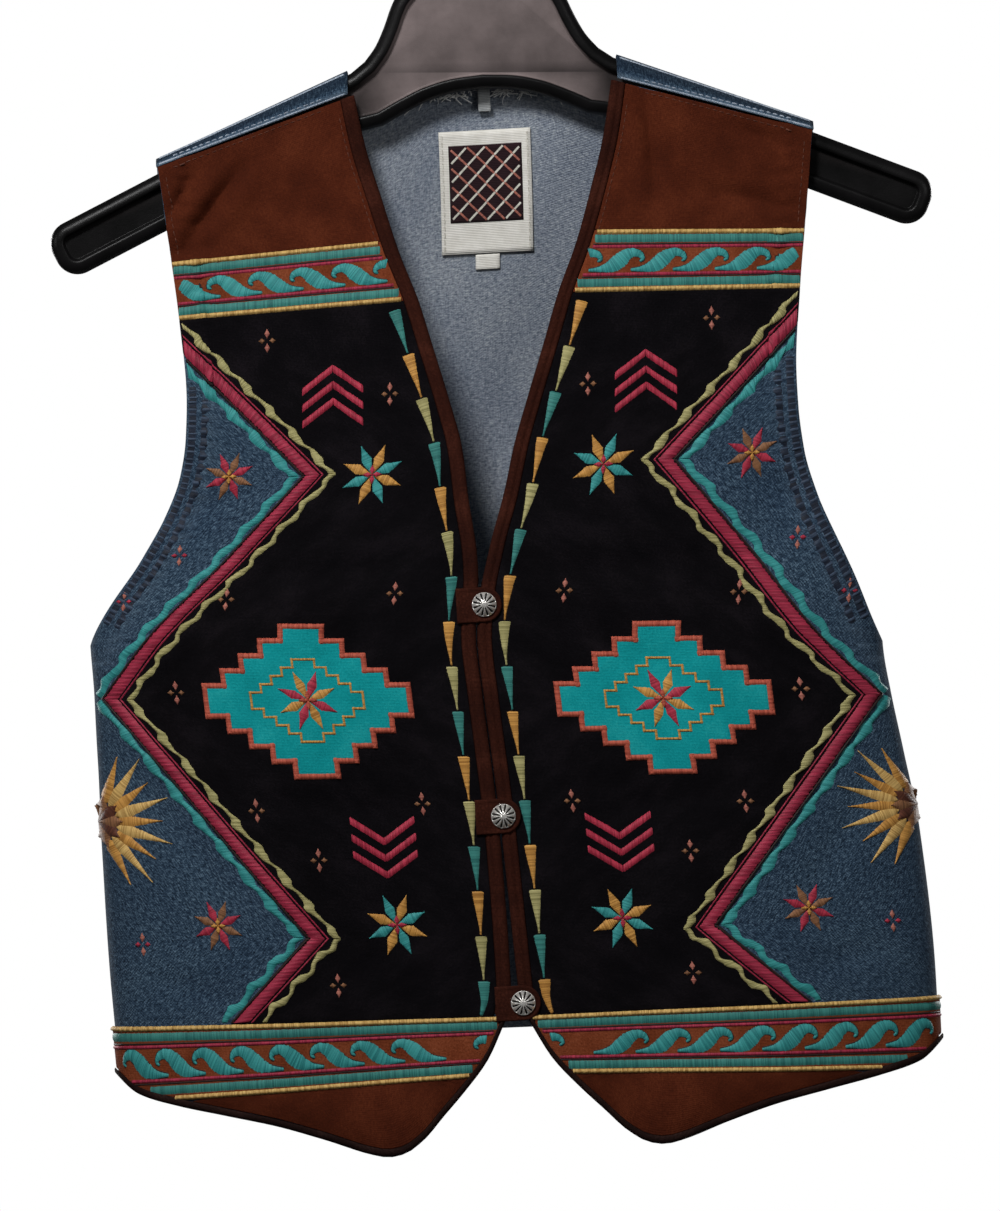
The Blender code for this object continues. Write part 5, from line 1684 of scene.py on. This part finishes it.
outline = hanger_outline()
turns = np.linspace(0, math.pi / 2, 8)
face_y = HANGER_THICK / 2
half_rim = [(HANGER_ROUND * (1 - math.cos(t)), face_y - HANGER_ROUND + HANGER_ROUND * math.sin(t))
            for t in turns]
half_rim += [(RIM - 0.0006, face_y), (RIM, face_y - 0.0005), (RIM + 0.0004, face_y - RECESS + 0.0008),
             (RIM + 0.0012, face_y - RECESS)]
section = [(by, y) for by, y in half_rim[::-1]] + [(by, -y) for by, y in half_rim]
loops = []
for by, y in section:
    edge = inset(outline, by)
    loops.append(np.column_stack([edge[:, 0], np.full(len(edge), y), edge[:, 1]]))
hanger = ring_mesh("moulded_hanger", loops, PLASTIC)
sunk = [by > RIM for by, y in section]
# Painted sheen: the sunk face near the middle of the hanger is marked to be painted paler.
painted_sheen = np.concatenate([ease((0.068 - np.abs(loop[:, 0])) / 0.03) * low for low, loop in zip(sunk, loops)])
paint_wear_and_sheen(hanger.data, painted_sheen)
for face in (hanger.data.polygons[-1], hanger.data.polygons[-2]):
    face.use_smooth = False
ride_on(hanger, "hanger_body", slot="dark_plastic")
print("hanger faces", len(hanger.data.polygons))

# %% Hook
HOOK_INSIDE, HOOK_WIRE = 0.0190, 0.0035
HOOK_NECK = table(Hem, [(0.0000, -0.0500), (0.0030, -0.0460), (0.0110, -0.0400), (0.0185, -0.0325)])
path = [(0, BELL[0].height + GAP)] + [(row.out, row.height) for row in HOOK_NECK]
path += arc_points((0, -HOOK_INSIDE), HOOK_INSIDE + HOOK_WIRE, -12, 205, 18)
path = np.array(path)
long = arc_of(path)
fine = np.linspace(0, long[-1], 120)
line = pairs(smooth(fine, long, path[:, 0]), smooth(fine, long, path[:, 1]))
run = unit(np.gradient(line, axis=0))
turns = np.linspace(0, 2 * math.pi, 20, endpoint=False)
loops = []
for (x, z), (run_x, run_z), at in zip(line, run, fine):
    swell = HOOK_WIRE * math.sqrt(max(1 - max(0.0, (at - long[-1] + HOOK_WIRE) / HOOK_WIRE) ** 2, 0.02))
    side_way = swell * np.cos(turns)
    loops.append(np.column_stack([x + side_way * -run_z, swell * np.sin(turns), z + side_way * run_x]))
hook = ring_mesh("moulded_hook", loops, PLASTIC)
paint_wear_and_sheen(hook.data, np.zeros(len(hook.data.vertices)))
ride_on(hook, "hanger_hook", slot="dark_plastic")
print("hook length", round(long[-1], 4))

# %% [markdown]
# Each sheet of cloth keeps, in CUT, the size that it was cut to, taken as it is built.
# The sizes are measured on the unrolled pieces. This cell only names the two fronts.


for side in ("left", "right"):
    front = f"denim_front_{side}"

# %% [markdown]
# ## Stage, light and camera
# The vest hangs well above a pale floor in a white room. Large soft lamps stand to both sides
# of the camera, as in a studio where clothes are photographed, and two more light the
# back. The camera looks level at the front and is tilted a few degrees, as in the photograph.

# %% Pale floor
def pale_finish():
    material, tree, shader = new_finish("pale_floor", 0.9)
    where = node(tree, "ShaderNodeTexCoord").outputs["Object"]
    cloud = noise(tree, where, 3.0, 2.0, 0.5)
    tree.links.new(ramp(tree, cloud, [(0.3, (0.90, 0.90, 0.90, 1)), (0.7, (0.93, 0.93, 0.93, 1))]),
                   shader.inputs["Base Color"])
    return material


FLOOR, FLOOR_HALF = -1.80, 1.1
mesh = bpy.data.meshes.new("pale_floor")
ends = ((-1, -1), (1, -1), (1, 1), (-1, 1))
mesh.from_pydata([(FLOOR_HALF * x, FLOOR_HALF * y, FLOOR) for x, y in ends], [], [(0, 1, 2, 3)])
mesh.materials.append(pale_finish())
linked("pale_floor", mesh)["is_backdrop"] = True

# %% Lamps and world
def lamp(name, place, target, size, power, spread):
    """A round soft lamp aimed at a target; its spread, in degrees, keeps light off the floor."""
    data = bpy.data.lights.new(name, "AREA")
    data.shape, data.size, data.energy = "DISK", size, power
    data.spread = math.radians(spread)
    thing = linked(name, data)
    thing.location = place
    thing.rotation_euler = (Vector(target) - Vector(place)).to_track_quat("-Z", "Y").to_euler()


MIDDLE = (0.0, 0.0, -0.36)
lamp("key_lamp", (-0.60, -1.75, 1.25), MIDDLE, 0.60, 4.0, 50)
lamp("fill_lamp", (1.6, -1.7, 0.10), MIDDLE, 1.0, 0.8, 50)
lamp("rim_lamp", (-2.0, -0.9, 0.2), MIDDLE, 0.8, 0.5, 50)
lamp("back_lamp_left", (-1.4, 2.0, -0.10), MIDDLE, 0.8, 2.6, 50)
lamp("back_lamp_right", (1.4, 2.0, -0.10), MIDDLE, 0.8, 2.6, 50)
ROOM_LIGHT, ROOM_WHITE = 0.05, 1.0
world = bpy.data.worlds.new("studio")
world.use_nodes = True
room = world.node_tree
room.nodes["Background"].inputs["Color"].default_value = (1.0, 1.0, 1.0, 1.0)
strength = room.nodes.new("ShaderNodeMapRange")
strength.inputs["To Min"].default_value = ROOM_LIGHT
strength.inputs["To Max"].default_value = ROOM_WHITE
room.links.new(room.nodes.new("ShaderNodeLightPath").outputs["Is Camera Ray"], strength.inputs["Value"])
room.links.new(strength.outputs["Result"], room.nodes["Background"].inputs["Strength"])
bpy.context.scene.world = world
bpy.context.scene.view_settings.view_transform = "Standard"

# %% Camera
IMAGE_TALL, AIM_X, AIM_Z, FRONT_PLANE = 0.5885, -0.0073, -0.3670, -0.020
DISTANCE, ROLL, SENSOR = 6.0, math.radians(-3.5), 0.036
camera_data = bpy.data.cameras.new("camera")
camera_data.sensor_width = SENSOR * 1000
camera_data.lens = SENSOR * 1000 * DISTANCE / IMAGE_TALL
camera = linked("camera", camera_data)
camera.matrix_world = (Matrix.Translation((AIM_X, FRONT_PLANE - DISTANCE, AIM_Z))
                       @ Matrix.Rotation(math.pi / 2, 4, "X")
                       @ Matrix.Rotation(ROLL, 4, "Z"))
bpy.context.scene.camera = camera
print("lens", round(camera_data.lens, 1), "mm")

# %% Compare the two boxes and finish
bpy.context.view_layer.update()
boxes = {"cad": [list(corner) for corner in cad_box], "visual": [list(corner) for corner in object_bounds()]}
for name, (low, high) in boxes.items():
    print(name, [round((b - a) * 1000, 1) for a, b in zip(low, high)])
